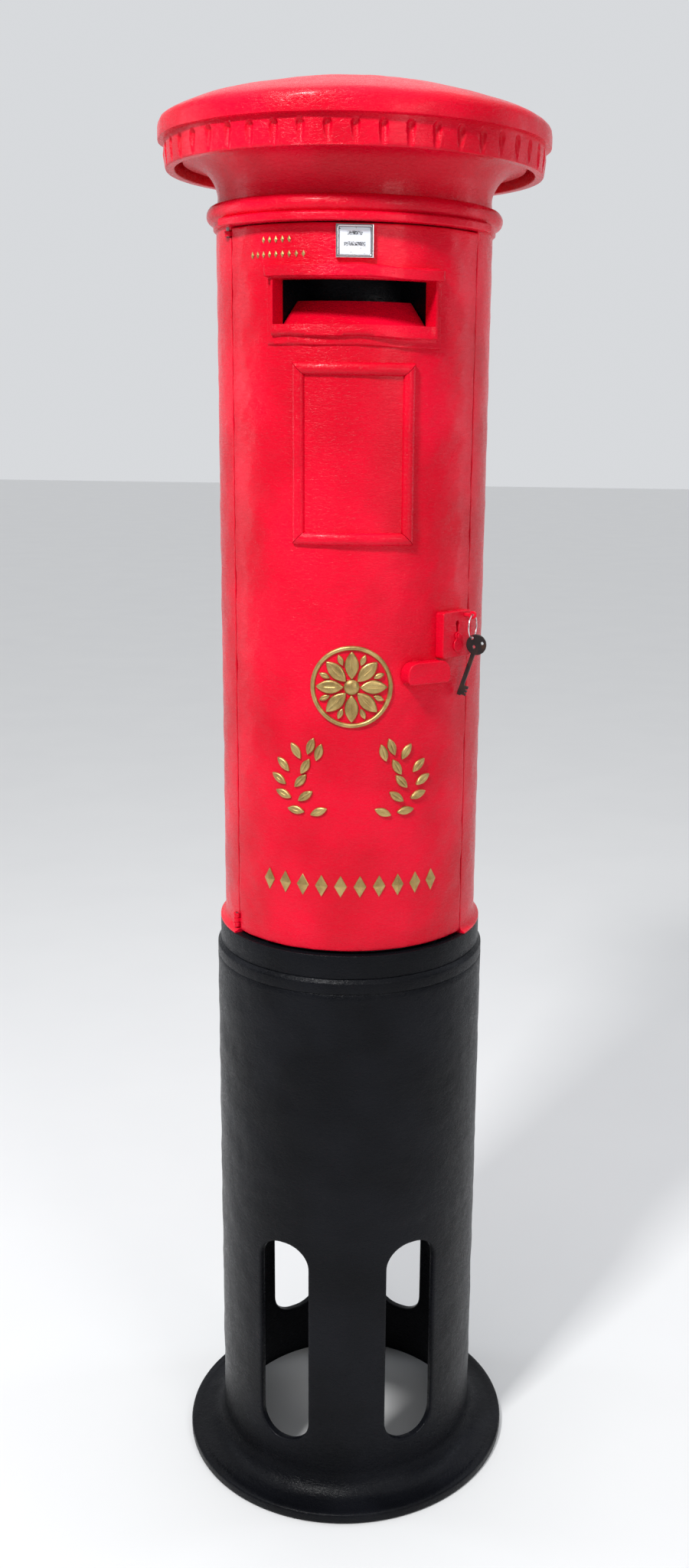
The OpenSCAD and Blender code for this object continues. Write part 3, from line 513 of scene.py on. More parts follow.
class Shape:
    """Gathers the vertices and faces of one piece."""

    def __init__(self) -> None:
        """Starts empty."""
        self.points: list[Array] = []
        self.faces: list[list[int]] = []
        self.count = 0

    def add(self, points: Array) -> Array:
        """Adds points of any grid shape and gives their numbers in the same shape."""
        points = np.asarray(points, float)
        flat = points.reshape(-1, 3)
        numbers = np.arange(self.count, self.count + len(flat)).reshape(points.shape[:-1])
        self.points.append(flat)
        self.count += len(flat)
        return numbers

    def quads(self, a: Array, b: Array, c: Array, d: Array) -> None:
        """Adds one face for each set of four numbers."""
        self.faces.extend(np.stack([a, b, c, d], axis=-1).reshape(-1, 4).tolist())

    def strip(self, rows: Array, wrap: bool) -> None:
        """Adds the faces between rows of numbers.

        Args:
            rows: Numbers by row and column.
            wrap: Whether the last column joins the first.
        """
        after = np.roll(rows, -1, axis=1) if wrap else rows[:, 1:]
        here = rows if wrap else rows[:, :-1]
        self.quads(here[:-1], after[:-1], after[1:], here[1:])

    def loft(self, loops: Array, wrap: bool = False) -> None:
        """Skins closed loops one after another, with a cap on each end unless they wrap.

        Args:
            loops: Points by loop and place in the loop.
            wrap: Whether the last loop joins the first.
        """
        numbers = self.add(loops)
        if wrap:
            numbers = np.vstack([numbers, numbers[:1]])
        self.strip(numbers, wrap=True)
        if not wrap:
            self.faces.append(numbers[0].tolist())
            self.faces.append(numbers[-1].tolist()[::-1])

    def spin(self, section: Array, azimuths: Array, wrap: bool = True, skin: CastSkin | None = None) -> None:
        """Turns a closed section of radius and height round the upright axis.

        Args:
            section: Radius and height of each corner.
            azimuths: Azimuths of the columns.
            wrap: Whether the ring closes.
            skin: Waves added to the radius.
        """
        radius, z = section[None, :, 0], section[None, :, 1]
        azimuth = np.asarray(azimuths)[:, None]
        if skin is not None:
            radius = radius + skin.height(azimuth, z)
        self.loft(polar(azimuth, radius, z), wrap)

    def wall(
        self,
        azimuths: Array,
        z: Array,
        outer: Array,
        inner: Array,
        solid: Array,
        wrap: bool = False,
        crown: tuple[Array, Array] | None = None,
        root: tuple[Array, Array] | None = None,
        patched: Array | None = None,
    ) -> tuple[Array, Array]:
        """Builds a round wall from cells, some of them left open.

        Args:
            azimuths: Azimuths of the columns of lines.
            z: Heights of the rows of lines.
            outer: Outer radius by row and column.
            inner: Inner radius by row and column.
            solid: Which cells are filled, by row and column of cells.
            wrap: Whether the wall goes all the way round.
            crown: Radii and heights, by row and column, that lead over the top from outside to inside.
            root: The same under the bottom.
            patched: Cells whose faces something else makes.

        Returns:
            The numbers of the outer and of the inner points.
        """
        a, zz = np.asarray(azimuths)[None, :], np.asarray(z)[:, None]
        out, into = self.add(polar(a, outer, zz)), self.add(polar(a, inner, zz))
        columns = len(azimuths)
        shown = solid if patched is None else solid & ~patched
        k, j = np.nonzero(shown)
        n = (j + 1) % columns
        self.quads(out[k, j], out[k, n], out[k + 1, n], out[k + 1, j])
        self.quads(into[k, n], into[k, j], into[k + 1, j], into[k + 1, n])
        side = np.roll(solid, 1, axis=1) if wrap else np.pad(solid, ((0, 0), (1, 0)))[:, :-1]
        k, j = np.nonzero(solid != side)
        self.quads(out[k, j], into[k, j], into[k + 1, j], out[k + 1, j])
        if not wrap:
            k = np.nonzero(solid[:, -1])[0]
            self.quads(out[k, -1], into[k, -1], into[k + 1, -1], out[k + 1, -1])
        below = np.pad(solid, ((1, 0), (0, 0)), constant_values=root is not None)
        above = np.pad(solid, ((0, 1), (0, 0)), constant_values=crown is not None)
        k, j = np.nonzero(below != above)
        n = (j + 1) % columns
        self.quads(out[k, j], out[k, n], into[k, n], into[k, j])
        for edge, row in ((crown, -1), (root, 0)):
            if edge is not None:
                ring = self.add(polar(a, edge[0], edge[1]))
                self.strip(np.vstack([out[row][None], ring, into[row][None]]), wrap)
        return out, into

    def tube(self, path: Array, radius: float, sides: int = 12, flat: float = 1.0) -> None:
        """Sweeps a round or flattened wire along a path.

        Args:
            path: Points along the middle of the wire.
            radius: Radius of the wire.
            sides: Number of sides.
            flat: Thickness across the path's own axis as a share of the radius.
        """
        along = np.gradient(path, axis=0)
        along /= np.linalg.norm(along, axis=1)[:, None]
        middle = path.mean(axis=0)
        away = path - middle
        away -= (away * along).sum(axis=1)[:, None] * along
        away /= np.linalg.norm(away, axis=1)[:, None]
        across = np.cross(along, away)
        turn = np.radians(np.arange(sides) * 360 / sides)[None, :, None]
        ring = np.cos(turn) * away[:, None] * flat + np.sin(turn) * across[:, None]
        self.loft(path[:, None] + radius * ring)

    def mesh(self, name: str, place: Matrix | None = None) -> bpy.types.Mesh:
        """Makes the mesh, with the faces turned outwards.

        Args:
            name: Name of the mesh.
            place: Where it goes, if the points aren't in place already.

        Returns:
            The mesh.
        """
        mesh = bpy.data.meshes.new(name)
        mesh.from_pydata(np.vstack(self.points).tolist(), [], self.faces)
        if place is not None:
            mesh.transform(place)
        return cleaned(mesh)


def cleaned(mesh: bpy.types.Mesh) -> bpy.types.Mesh:
    """Merges doubled points, drops loose ones and turns the faces outwards."""
    work = bmesh.new()
    work.from_mesh(mesh)
    bmesh.ops.remove_doubles(work, verts=work.verts, dist=0.002 * MM)
    loose = [v for v in work.verts if not v.link_faces]
    bmesh.ops.delete(work, geom=loose, context="VERTS")
    bmesh.ops.recalc_face_normals(work, faces=work.faces)
    work.to_mesh(mesh)
    work.free()
    return mesh


def baked(source: bpy.types.Object, name: str) -> bpy.types.Mesh:
    """Gives the mesh of an object with its modifiers applied, and removes the object."""
    bpy.context.view_layer.update()
    seen = source.evaluated_get(bpy.context.evaluated_depsgraph_get())
    mesh = bpy.data.meshes.new_from_object(seen)
    mesh.name = name
    bpy.data.objects.remove(source)
    return mesh


@dataclass(frozen=True)
class Casting:
    """Turns a sharp shape into one with the rounded edges of a painted casting."""

    grain: float
    rounds: int = 6
    lumps: float = 0.0
    lump_size: float = 12 * MM

    def soften(self, mesh: bpy.types.Mesh, name: str) -> bpy.types.Mesh:
        """Rebuilds a closed mesh on an even grid and smooths it.

        Args:
            mesh: The sharp mesh.
            name: Name of the new one.

        Returns:
            The rounded mesh.
        """
        thing = bpy.data.objects.new(name + "_work", cleaned(mesh))
        bpy.context.scene.collection.objects.link(thing)
        grid = thing.modifiers.new("grid", "REMESH")
        grid.mode = "VOXEL"
        grid.voxel_size = self.grain
        soft = thing.modifiers.new("soft", "SMOOTH")
        soft.factor = 0.5
        soft.iterations = self.rounds
        if self.lumps:
            clouds = bpy.data.textures.new(name + "_lumps", "CLOUDS")
            clouds.noise_scale = self.lump_size
            clouds.noise_depth = 1
            push = thing.modifiers.new("lumps", "DISPLACE")
            push.texture = clouds
            push.texture_coords = "LOCAL"
            push.strength = self.lumps
        return baked(thing, name)

    def node(self, node: str, name: str) -> bpy.types.Mesh:
        """Rounds a copy of a node of the frame."""
        return self.soften(frame["nodes"][node].data.copy(), name)


class Maker:
    """Places finished pieces in the scene."""

    def __init__(self, palette: Palette) -> None:
        """Keeps the palette that the pieces are dressed from."""
        self.palette = palette

    def piece(
        self,
        name: str,
        mesh: bpy.types.Mesh,
        body: Body,
        slot: Slot,
        replaces: Sequence[str] = (),
        sharp: float = 42.0,
    ) -> bpy.types.Object:
        """Makes one piece, dresses it and lets it ride.

        Args:
            name: Name of the piece.
            mesh: Its mesh, in place.
            body: The body that it moves with.
            slot: The slot that it takes its finish from.
            replaces: Nodes of the frame that it stands for.
            sharp: Edges over this angle in degrees stay sharp.

        Returns:
            The piece.
        """
        thing = bpy.data.objects.new(name, mesh)
        bpy.context.scene.collection.objects.link(thing)
        mesh.shade_smooth()
        mesh.set_sharp_from_angle(angle=math.radians(sharp))
        mesh.materials.clear()
        mesh.materials.append(self.palette.by_slot[slot])
        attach(thing, body.value)
        if replaces:
            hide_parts(*replaces)
        LOG.info("%s: %d faces on %s", name, len(mesh.polygons), body.value)
        return thing


# ---------------------------------------------------------------- pedestal


@dataclass
class Pedestal:
    """The black foundation casting with its foot and four windows."""

    joint_z: float = 868 * MM
    radius: float = 203.5 * MM
    bore: float = 190.5 * MM
    top_r: float = 198.5 * MM
    flange_bore: float = 150.5 * MM
    flange_t: float = 16 * MM
    foot_r: float = 260 * MM
    foot_t: float = 16 * MM
    cove: float = 32 * MM
    window_w: float = 83 * MM
    window_h: float = 344 * MM
    window_mid: float = 262 * MM
    corner: float = 38 * MM
    window_a: float = 29.0
    margin: float = 15 * MM
    edge: float = 3.5 * MM
    columns: int = 144

    def patch_columns(self, azimuths: Array) -> list[tuple[int, int, float]]:
        """Finds the columns that bound each window's patch.

        Args:
            azimuths: Azimuths of the columns.

        Returns:
            First column, last column and middle azimuth of each window.
        """
        half = half_azimuth(self.window_w, self.bore) + math.degrees(self.margin / self.radius)
        found = []
        for middle in (self.window_a, 180 - self.window_a, 180 + self.window_a, 360 - self.window_a):
            first = int(np.searchsorted(azimuths, middle - half)) - 1
            last = int(np.searchsorted(azimuths, middle + half))
            found.append((first, last, middle))
        return found

    def window(
        self, shape: Shape, rings: Sequence[Array], azimuths: Array, z: Array, middle: float
    ) -> None:
        """Fills the space between a window and its patch, on both faces, and lines the opening.

        Args:
            shape: The shape to add to.
            rings: Numbers of the patch's border on the outer and on the inner face.
            azimuths: Azimuth of each border point.
            z: Height of each border point.
            middle: Azimuth of the window.
        """
        lines: list[Array] = []
        for ring, face, inward in ((rings[0], self.radius, -1.0), (rings[1], self.bore, 1.0)):
            across = face * np.sin(np.radians(azimuths - middle))
            border = np.stack([across, z - self.window_mid], axis=-1)
            core = np.array([self.window_w / 2 - self.corner, self.window_h / 2 - self.corner])
            nearest = np.clip(border, -core, core)
            away = border - nearest
            away /= np.linalg.norm(away, axis=1)[:, None]
            outline = nearest + self.corner * away
            start = outline + self.edge * away
            steps = [(border + (start - border) * t, face) for t in (0.3, 0.6, 0.85, 1.0)]
            for turn in np.radians((22.5, 45.0, 67.5, 90.0)):
                flat = outline + self.edge * (1 - math.sin(turn)) * away
                steps.append((flat, face + inward * self.edge * (1 - math.cos(turn))))
            side = [ring]
            for flat, radius in steps:
                around_a = middle + np.degrees(np.arcsin(flat[:, 0] / radius))
                side.append(shape.add(polar(around_a, radius, flat[:, 1] + self.window_mid)))
            lines.extend(side if inward < 0 else side[::-1])
        shape.strip(np.array(lines), wrap=True)

    def build(self, maker: Maker) -> None:
        """Builds and dresses the casting."""
        azimuths = np.arange(self.columns) * 360 / self.columns
        low, high = self.foot_t + self.cove, self.joint_z - self.flange_t - 8 * MM
        half = self.window_h / 2 + self.margin
        marks = [self.window_mid - half, self.window_mid + half]
        z = ruled(low, high, 8 * MM, marks, 3 * MM)
        skin = CastSkin(11, 0.28 * MM, 22 * MM, 120 * MM)
        outer = self.radius + skin.height(azimuths[None], z[:, None])
        rows = np.searchsorted(z, [m - 1e-6 for m in marks])
        solid = np.ones((len(z) - 1, self.columns), bool)
        patched = np.zeros_like(solid)
        windows = self.patch_columns(azimuths)
        for first, last, _ in windows:
            patched[rows[0] : rows[1], first:last] = True
            level = np.clip((np.abs(z - self.window_mid) - half) / (10 * MM), 0, 1)[:, None]
            outer[:, first : last + 1] = self.radius + (outer[:, first : last + 1] - self.radius) * level
        inner = np.full_like(outer, self.bore)
        step = self.radius - self.top_r
        crown = eased(
            [
                (self.radius, high + 2 * MM),
                (self.radius, self.joint_z - step - 1 * MM),
                (self.top_r, self.joint_z),
                (self.flange_bore, self.joint_z),
                (self.flange_bore, self.joint_z - self.flange_t),
                (self.bore - 8 * MM, self.joint_z - self.flange_t),
            ],
            1.6 * MM,
        )
        root = np.array(
            arc((self.radius + self.cove, low), self.cove, 180, 270, 10)[1:]
            + eased(
                [
                    (self.foot_r - 12 * MM, self.foot_t),
                    (self.foot_r, self.foot_t),
                    (self.foot_r, 0),
                    (self.bore, 0),
                ],
                4 * MM,
            ).tolist()
        )
        root[:, 1] = np.maximum(root[:, 1], 0)
        foot_skin = CastSkin(12, 0.35 * MM, 24 * MM, 110 * MM)
        lift = foot_skin.height(azimuths[None], root[:, :1]) * (root[:, 1:] > 1 * MM)
        root_z = np.where(root[:, 1:] >= self.foot_t - 1e-6, root[:, 1:] + lift, root[:, 1:])
        shape = Shape()
        out, into = shape.wall(
            azimuths,
            z,
            outer,
            inner,
            solid,
            wrap=True,
            crown=(crown[:, :1] + 0 * azimuths, crown[:, 1:] + 0 * azimuths),
            root=(root[:, :1] + lift * 0, root_z + 0 * azimuths),
            patched=patched,
        )
        for first, last, middle in windows:
            k = [rows[0]] * (last - first) + list(range(rows[0], rows[1]))
            k += [rows[1]] * (last - first) + list(range(rows[1], rows[0], -1))
            j = list(range(first, last)) + [last] * (rows[1] - rows[0])
            j += list(range(last, first, -1)) + [first] * (rows[1] - rows[0])
            self.window(shape, (out[k, j], into[k, j]), azimuths[j], z[k], middle)
        maker.piece("pedestal_casting", shape.mesh("pedestal_casting"), Body.POST, Slot.BLACK, ["pedestal"])


# ---------------------------------------------------------------- barrel


@dataclass
class Barrel:
    """The upper casting: black base band, red wall, drip ledge, bead and cove."""

    joint_z: float = 868 * MM
    sill_z: float = 903 * MM
    lintel_z: float = 1887 * MM
    seat_z: float = 1980 * MM
    band_r: float = 198.5 * MM
    bore: float = 178.5 * MM
    joint_bore: float = 150.5 * MM
    seat_bore: float = 166 * MM
    top_bore: float = 154.5 * MM
    jamb_a: float = 58.951
    neck_r: float = 188.5 * MM
    cove_r: float = 44 * MM
    neck_z: float = 1931 * MM
    bead_z: float = 1908 * MM
    bead_r: float = 11.7 * MM
    strike: tuple[float, float] = (1326.6 * MM, 1383.4 * MM)
    notch_a: tuple[float, float] = (-63.0, -58.951)
    notches: tuple[tuple[float, float], ...] = ((0.9085, 0.9321), (1.8735, 1.8826))

    def band(self, maker: Maker) -> None:
        """Builds the black base band with its bolting flange and floor seat."""
        section = eased(
            [
                (self.joint_bore, self.joint_z),
                (self.band_r, self.joint_z),
                (self.band_r, self.sill_z),
                (self.bore, self.sill_z),
                (self.bore, self.sill_z - 5 * MM),
                (self.seat_bore, self.sill_z - 5 * MM),
                (self.seat_bore, self.sill_z - 13 * MM),
                (self.bore, self.sill_z - 13 * MM),
                (self.bore, self.joint_z + 12 * MM),
                (self.joint_bore, self.joint_z + 12 * MM),
            ],
            1.3 * MM,
        )
        shape = Shape()
        shape.spin(section, np.arange(180) * 2.0, skin=CastSkin(21, 0.12 * MM))
        maker.piece("barrel_base_band", shape.mesh("barrel_base_band"), Body.POST, Slot.BLACK, ["body_shell"])

    def crown(self) -> Array:
        """Gives the section over the top of the wall, from the bead round to the inner cove."""
        inner = self.cove_r + 10 * MM
        turn = math.degrees(math.acos(-math.sqrt(1 - ((self.cove_r - 5 * MM) / inner) ** 2)))
        centre = (self.neck_r + self.cove_r, self.neck_z)
        bead = arc((BODY_R + 1.5 * MM, self.bead_z), self.bead_r, -76, 90, 14)
        return np.array(
            [(BODY_R, self.lintel_z + 1.5 * MM), (BODY_R + 3.2 * MM, self.lintel_z + 1.9 * MM)]
            + [(BODY_R + 4 * MM, self.lintel_z + 3 * MM), (BODY_R + 4 * MM, self.bead_z - 12 * MM)]
            + bead
            + [(self.neck_r + 0.6 * MM, self.bead_z + self.bead_r + 0.6 * MM)]
            + arc(centre, self.cove_r, 180, 92, 16)
            + [(centre[0] + 1 * MM, self.seat_z - 4.8 * MM), (centre[0] + 1.5 * MM, self.seat_z - 4 * MM)]
            + [(centre[0] + 1.5 * MM, self.seat_z - 0.6 * MM), (centre[0] + 1 * MM, self.seat_z)]
            + [(self.top_bore, self.seat_z), (self.top_bore, self.seat_z - 10 * MM)]
            + arc(centre, inner, turn, 176, 8)
        )

    def wall(self, maker: Maker) -> None:
        """Builds the red wall with its door opening and the notches for the hinge knuckles."""
        flare = arc((BODY_R + 10 * MM, self.sill_z + 12 * MM), 10 * MM, 258.46, 180, 8)
        marks = [p[1] for p in flare] + [n for pair in self.notches for n in pair]
        z = ruled(self.sill_z, self.lintel_z, 6.5 * MM, marks, 0.9 * MM)
        edge = [self.jamb_a + d for d in (0.0, 0.12, 0.35)]
        edges = edge + [-e for e in edge] + list(self.notch_a)
        azimuths = ruled(-180, 180, 1.5, edges, 0.3)[:-1]
        flare_z = [p[1] for p in flare]
        radius = np.interp(z, flare_z, [p[0] for p in flare])
        skin = CastSkin(22, 0.22 * MM)
        a = azimuths[None]
        near = np.clip(1 - np.abs(np.abs(a) - self.jamb_a) / 0.36, 0, 1)
        calm = np.clip((z - self.sill_z - 2 * MM) / (20 * MM), 0, 1)[:, None]
        outer = radius[:, None] + skin.height(a, z[:, None]) * calm - 0.7 * MM * near**2
        middle_a = (azimuths + np.append(azimuths[1:], 180)) / 2
        middle_z = (z[:-1] + z[1:]) / 2
        solid = np.repeat((np.abs(middle_a) > self.jamb_a)[None], len(middle_z), axis=0)
        for low, high in self.notches:
            rows = (middle_z > low) & (middle_z < high)
            cols = (middle_a > self.notch_a[0]) & (middle_a < self.notch_a[1])
            solid[np.ix_(rows, cols)] = False
        crown = self.crown()
        rounding = CastSkin(23, 0.3 * MM, 20 * MM, 100 * MM).height(a, crown[:, 1:])
        ride = np.clip((crown[:, 1:] - self.lintel_z) / (12 * MM), 0, 1) * (crown[:, :1] > BODY_R - 3 * MM)
        ride *= crown[:, 1:] < self.seat_z - 3 * MM
        lintel_skin = skin.height(a, np.full((1, 1), self.lintel_z))
        crown_r = crown[:, :1] + rounding * ride
        crown_r[:4] += lintel_skin * np.array([1.0, 0.7, 0.4, 0.1])[:, None]
        shape = Shape()
        shape.wall(
            azimuths,
            z,
            outer,
            np.full_like(outer, self.bore),
            solid,
            wrap=True,
            crown=(crown_r, crown[:, 1:] + 0 * a),
        )
        maker.piece("barrel_wall", shape.mesh("barrel_wall"), Body.POST, Slot.RED, ["body_shell"])

    def ledge(self, maker: Maker) -> None:
        """Builds the drip ledge over the door, rounded off at both ends."""
        half, low, high = 62.0, self.lintel_z - 0.3 * MM, self.lintel_z + 12.5 * MM
        azimuths = ruled(-half, half, 1.5, [-half + 0.25, half - 0.25, -half + 0.8, half - 0.8], 0.2)
        skin = CastSkin(24, 0.22 * MM, 18 * MM, 80 * MM)
        loops = []
        for a in azimuths:
            end = max(0.0, 1 - (half - abs(a)) / 0.8) ** 2
            out = BODY_R + (15.2 - 4.5 * end) * MM + float(skin.height(np.array(a), np.array(low)))
            section = [
                (BODY_R - 8 * MM, low + 0.8 * end * MM),
                (out, low + 0.8 * end * MM),
                (out + 0.2 * MM, high - (3.5 + 1.5 * end) * MM),
                (BODY_R + 9 * MM, high - 1.0 * MM),
                (BODY_R - 8 * MM, high),
            ]
            rounded = eased(section, 2.2 * MM, 4)
            loops.append(polar(np.array(a), rounded[:, 0], rounded[:, 1]))
        shape = Shape()
        shape.loft(np.array(loops))
        maker.piece("drip_ledge", shape.mesh("drip_ledge"), Body.POST, Slot.RED, ["body_shell"])

    def stops(self, maker: Maker) -> None:
        """Builds the strips behind the opening that the door closes against."""
        shape = Shape()
        r0, r1 = 172 * MM, 180 * MM
        low, high = self.sill_z + 1 * MM, self.lintel_z + 4 * MM
        strike = self.strike
        head = (self.lintel_z - 9 * MM, self.lintel_z + 5 * MM)
        for a0, a1, z0, z1, inset in (
            (-61.9, -56.0, low, high, 0.0),
            (56.0, 61.9, low, strike[0], 0.0),
            (56.0, 61.9, strike[1], high, 0.0),
            (-60.9, -16.0, *head, 0.6 * MM),
            (16.0, 60.9, *head, 0.6 * MM),
        ):
            box = eased([(r0 + inset, z0), (r1 - inset, z0), (r1 - inset, z1), (r0 + inset, z1)], 1 * MM)
            shape.spin(box, ruled(a0, a1, 1.5), wrap=False)
        mesh = shape.mesh("door_stops")
        maker.piece("door_stops", mesh, Body.POST, Slot.RED, ["body_shell"])

    def build(self, maker: Maker) -> None:
        """Builds and dresses the casting."""
        self.band(maker)
        self.wall(maker)
        self.ledge(maker)
        self.stops(maker)
        mesh = Casting(0.7 * MM, 5).node("hinge_bracket", "hinge_knuckles")
        maker.piece("hinge_knuckles", mesh, Body.POST, Slot.RED, ["hinge_bracket"])


# ---------------------------------------------------------------- cap


@dataclass
class Cap:
    """The domed cap with its fluted rim."""

    rim_z: float = 1965 * MM
    seat_z: float = 1980 * MM
    frieze_z: float = 1992 * MM
    lip_low: float = 2002 * MM
    lip_high: float = 2028 * MM
    top_z: float = 2080 * MM
    rim_r: float = 257.5 * MM
    frieze_r: float = 260 * MM
    lip_r: float = 267.1 * MM
    rim_bore: float = 245.5 * MM
    seat_r: float = 237.5 * MM
    bore: float = 222.5 * MM
    wall: float = 14 * MM
    flutes: int = 48
    flute_r: float = 5.75 * MM
    flute_out: tuple[float, float] = (2.6 * MM, -0.6 * MM)
    flute_z: float = 1990 * MM

    def section(self) -> tuple[Array, int]:
        """Gives the closed section of the cap.

        Returns:
            Radius and height of each corner, and how many of them lie on the fluted rim.
        """
        rise = self.top_z - self.lip_high
        dome = (self.lip_r**2 + rise**2) / (2 * rise)
        centre = (0.0, self.top_z - dome)
        edge_a = math.degrees(math.acos(self.lip_r / dome))
        in_a = math.degrees(math.acos(self.bore / (dome - self.wall)))
        rim = [(self.rim_r - 1 * MM, self.rim_z), (self.rim_r - 0.2 * MM, self.rim_z + 0.8 * MM)]
        for z in np.arange(self.rim_z + 2.5 * MM, self.frieze_z - 1 * MM, 2.1 * MM):
            share = (z - self.rim_z) / (self.frieze_z - self.rim_z)
            rim.append((self.rim_r + share * (self.frieze_r - self.rim_r), z))
        for share in (0.0, 0.12, 0.3, 0.5, 0.7, 0.88):
            swell = math.sin(share * math.pi) * 0.6 * MM
            rim.append(
                (
                    self.frieze_r + share * (self.lip_r - self.frieze_r) - swell,
                    self.frieze_z + share * (self.lip_low - self.frieze_z),
                )
            )
        lip = [
            (self.lip_r - 0.5 * MM, self.lip_low - 0.2 * MM),
            (self.lip_r, self.lip_low + 1.5 * MM),
            (self.lip_r + 0.1 * MM, self.lip_low + 7 * MM),
            (self.lip_r + 0.1 * MM, self.lip_high - 11 * MM),
            (self.lip_r - 0.7 * MM, self.lip_high - 6.5 * MM),
            (self.lip_r - 2.8 * MM, self.lip_high - 2.4 * MM),
            (self.lip_r - 6.2 * MM, self.lip_high + 0.9 * MM),
            (self.lip_r - 11.0 * MM, self.lip_high + 3.6 * MM),
        ]
        over = arc(centre, dome, edge_a + 1.7, 89.5, 30)
        under = arc(centre, dome - self.wall, 89.4, in_a, 16)
        inner = [
            (self.bore, self.seat_z),
            (self.seat_r, self.seat_z),
            (self.seat_r, self.seat_z + 10 * MM),
            (self.rim_bore, self.seat_z + 10 * MM),
            (self.rim_bore, self.rim_z + 1 * MM),
            (self.rim_bore + 1 * MM, self.rim_z),
        ]
        return np.array(rim + lip + over + under + inner), len(rim)

    def columns(self) -> Array:
        """Azimuths of the columns, close together at each flute."""
        across = (-15, -11, -8, -6.4, -5.4, -4.7, -3.6, -2.0, 0, 2.0, 3.6, 4.7, 5.4, 6.4, 8, 11)
        offsets = np.degrees(np.array(across) * MM / self.frieze_r)
        middles = np.arange(self.flutes) * 360 / self.flutes
        return (middles[:, None] + offsets[None]).reshape(-1)

    def build(self, maker: Maker) -> None:
        """Builds and dresses the cap."""
        section, rim_rows = self.section()
        azimuths = self.columns()[:, None]
        radius, z = np.broadcast_arrays(section[None, :, 0], section[None, :, 1] + 0 * azimuths)
        skin = CastSkin(31, 0.4 * MM, 26 * MM, 150 * MM)
        outside = np.zeros(len(section))
        outside[2 : rim_rows + 36] = 1.0
        radius = radius + skin.height(azimuths, z) * outside * np.clip(radius / self.lip_r, 0, 1) ** 2
        pitch = 360 / self.flutes
        off = ((azimuths + pitch / 2) % pitch - pitch / 2) / 180 * math.pi * self.frieze_r
        wobble = CastSkin(32, 0.35 * MM, 60 * MM, 200 * MM).height(azimuths, z)
        over = np.maximum(z - self.flute_z - wobble, 0)
        chord = np.sqrt(np.maximum(self.flute_r**2 - off**2 - over**2, 0))
        lean = np.interp(z, (self.rim_z, self.flute_z), self.flute_out)
        floor = self.frieze_r + lean - chord
        rows = np.arange(len(section)) < rim_rows
        depth = np.where(rows[None], np.maximum(radius - floor, 0), 0)
        radius = radius - depth**2 / (depth + 0.35 * MM)
        bump = CastSkin(33, 0.35 * MM, 40 * MM, 160 * MM).height(azimuths, radius)
        z = z + bump * (outside * (section[:, 1] > self.lip_high))[None] * np.clip(radius / (60 * MM), 0, 1)
        shape = Shape()
        numbers = shape.add(polar(azimuths, radius, z))
        wrapped = np.vstack([numbers, numbers[:1]])
        shape.strip(wrapped, wrap=True)
        maker.piece("cap_casting", shape.mesh("cap_casting"), Body.POST, Slot.RED, ["cap"])


# ---------------------------------------------------------------- door


@dataclass
class Opening:
    """A gap in the door leaf, by azimuth and height."""

    a0: float
    a1: float
    z0: float
    z1: float


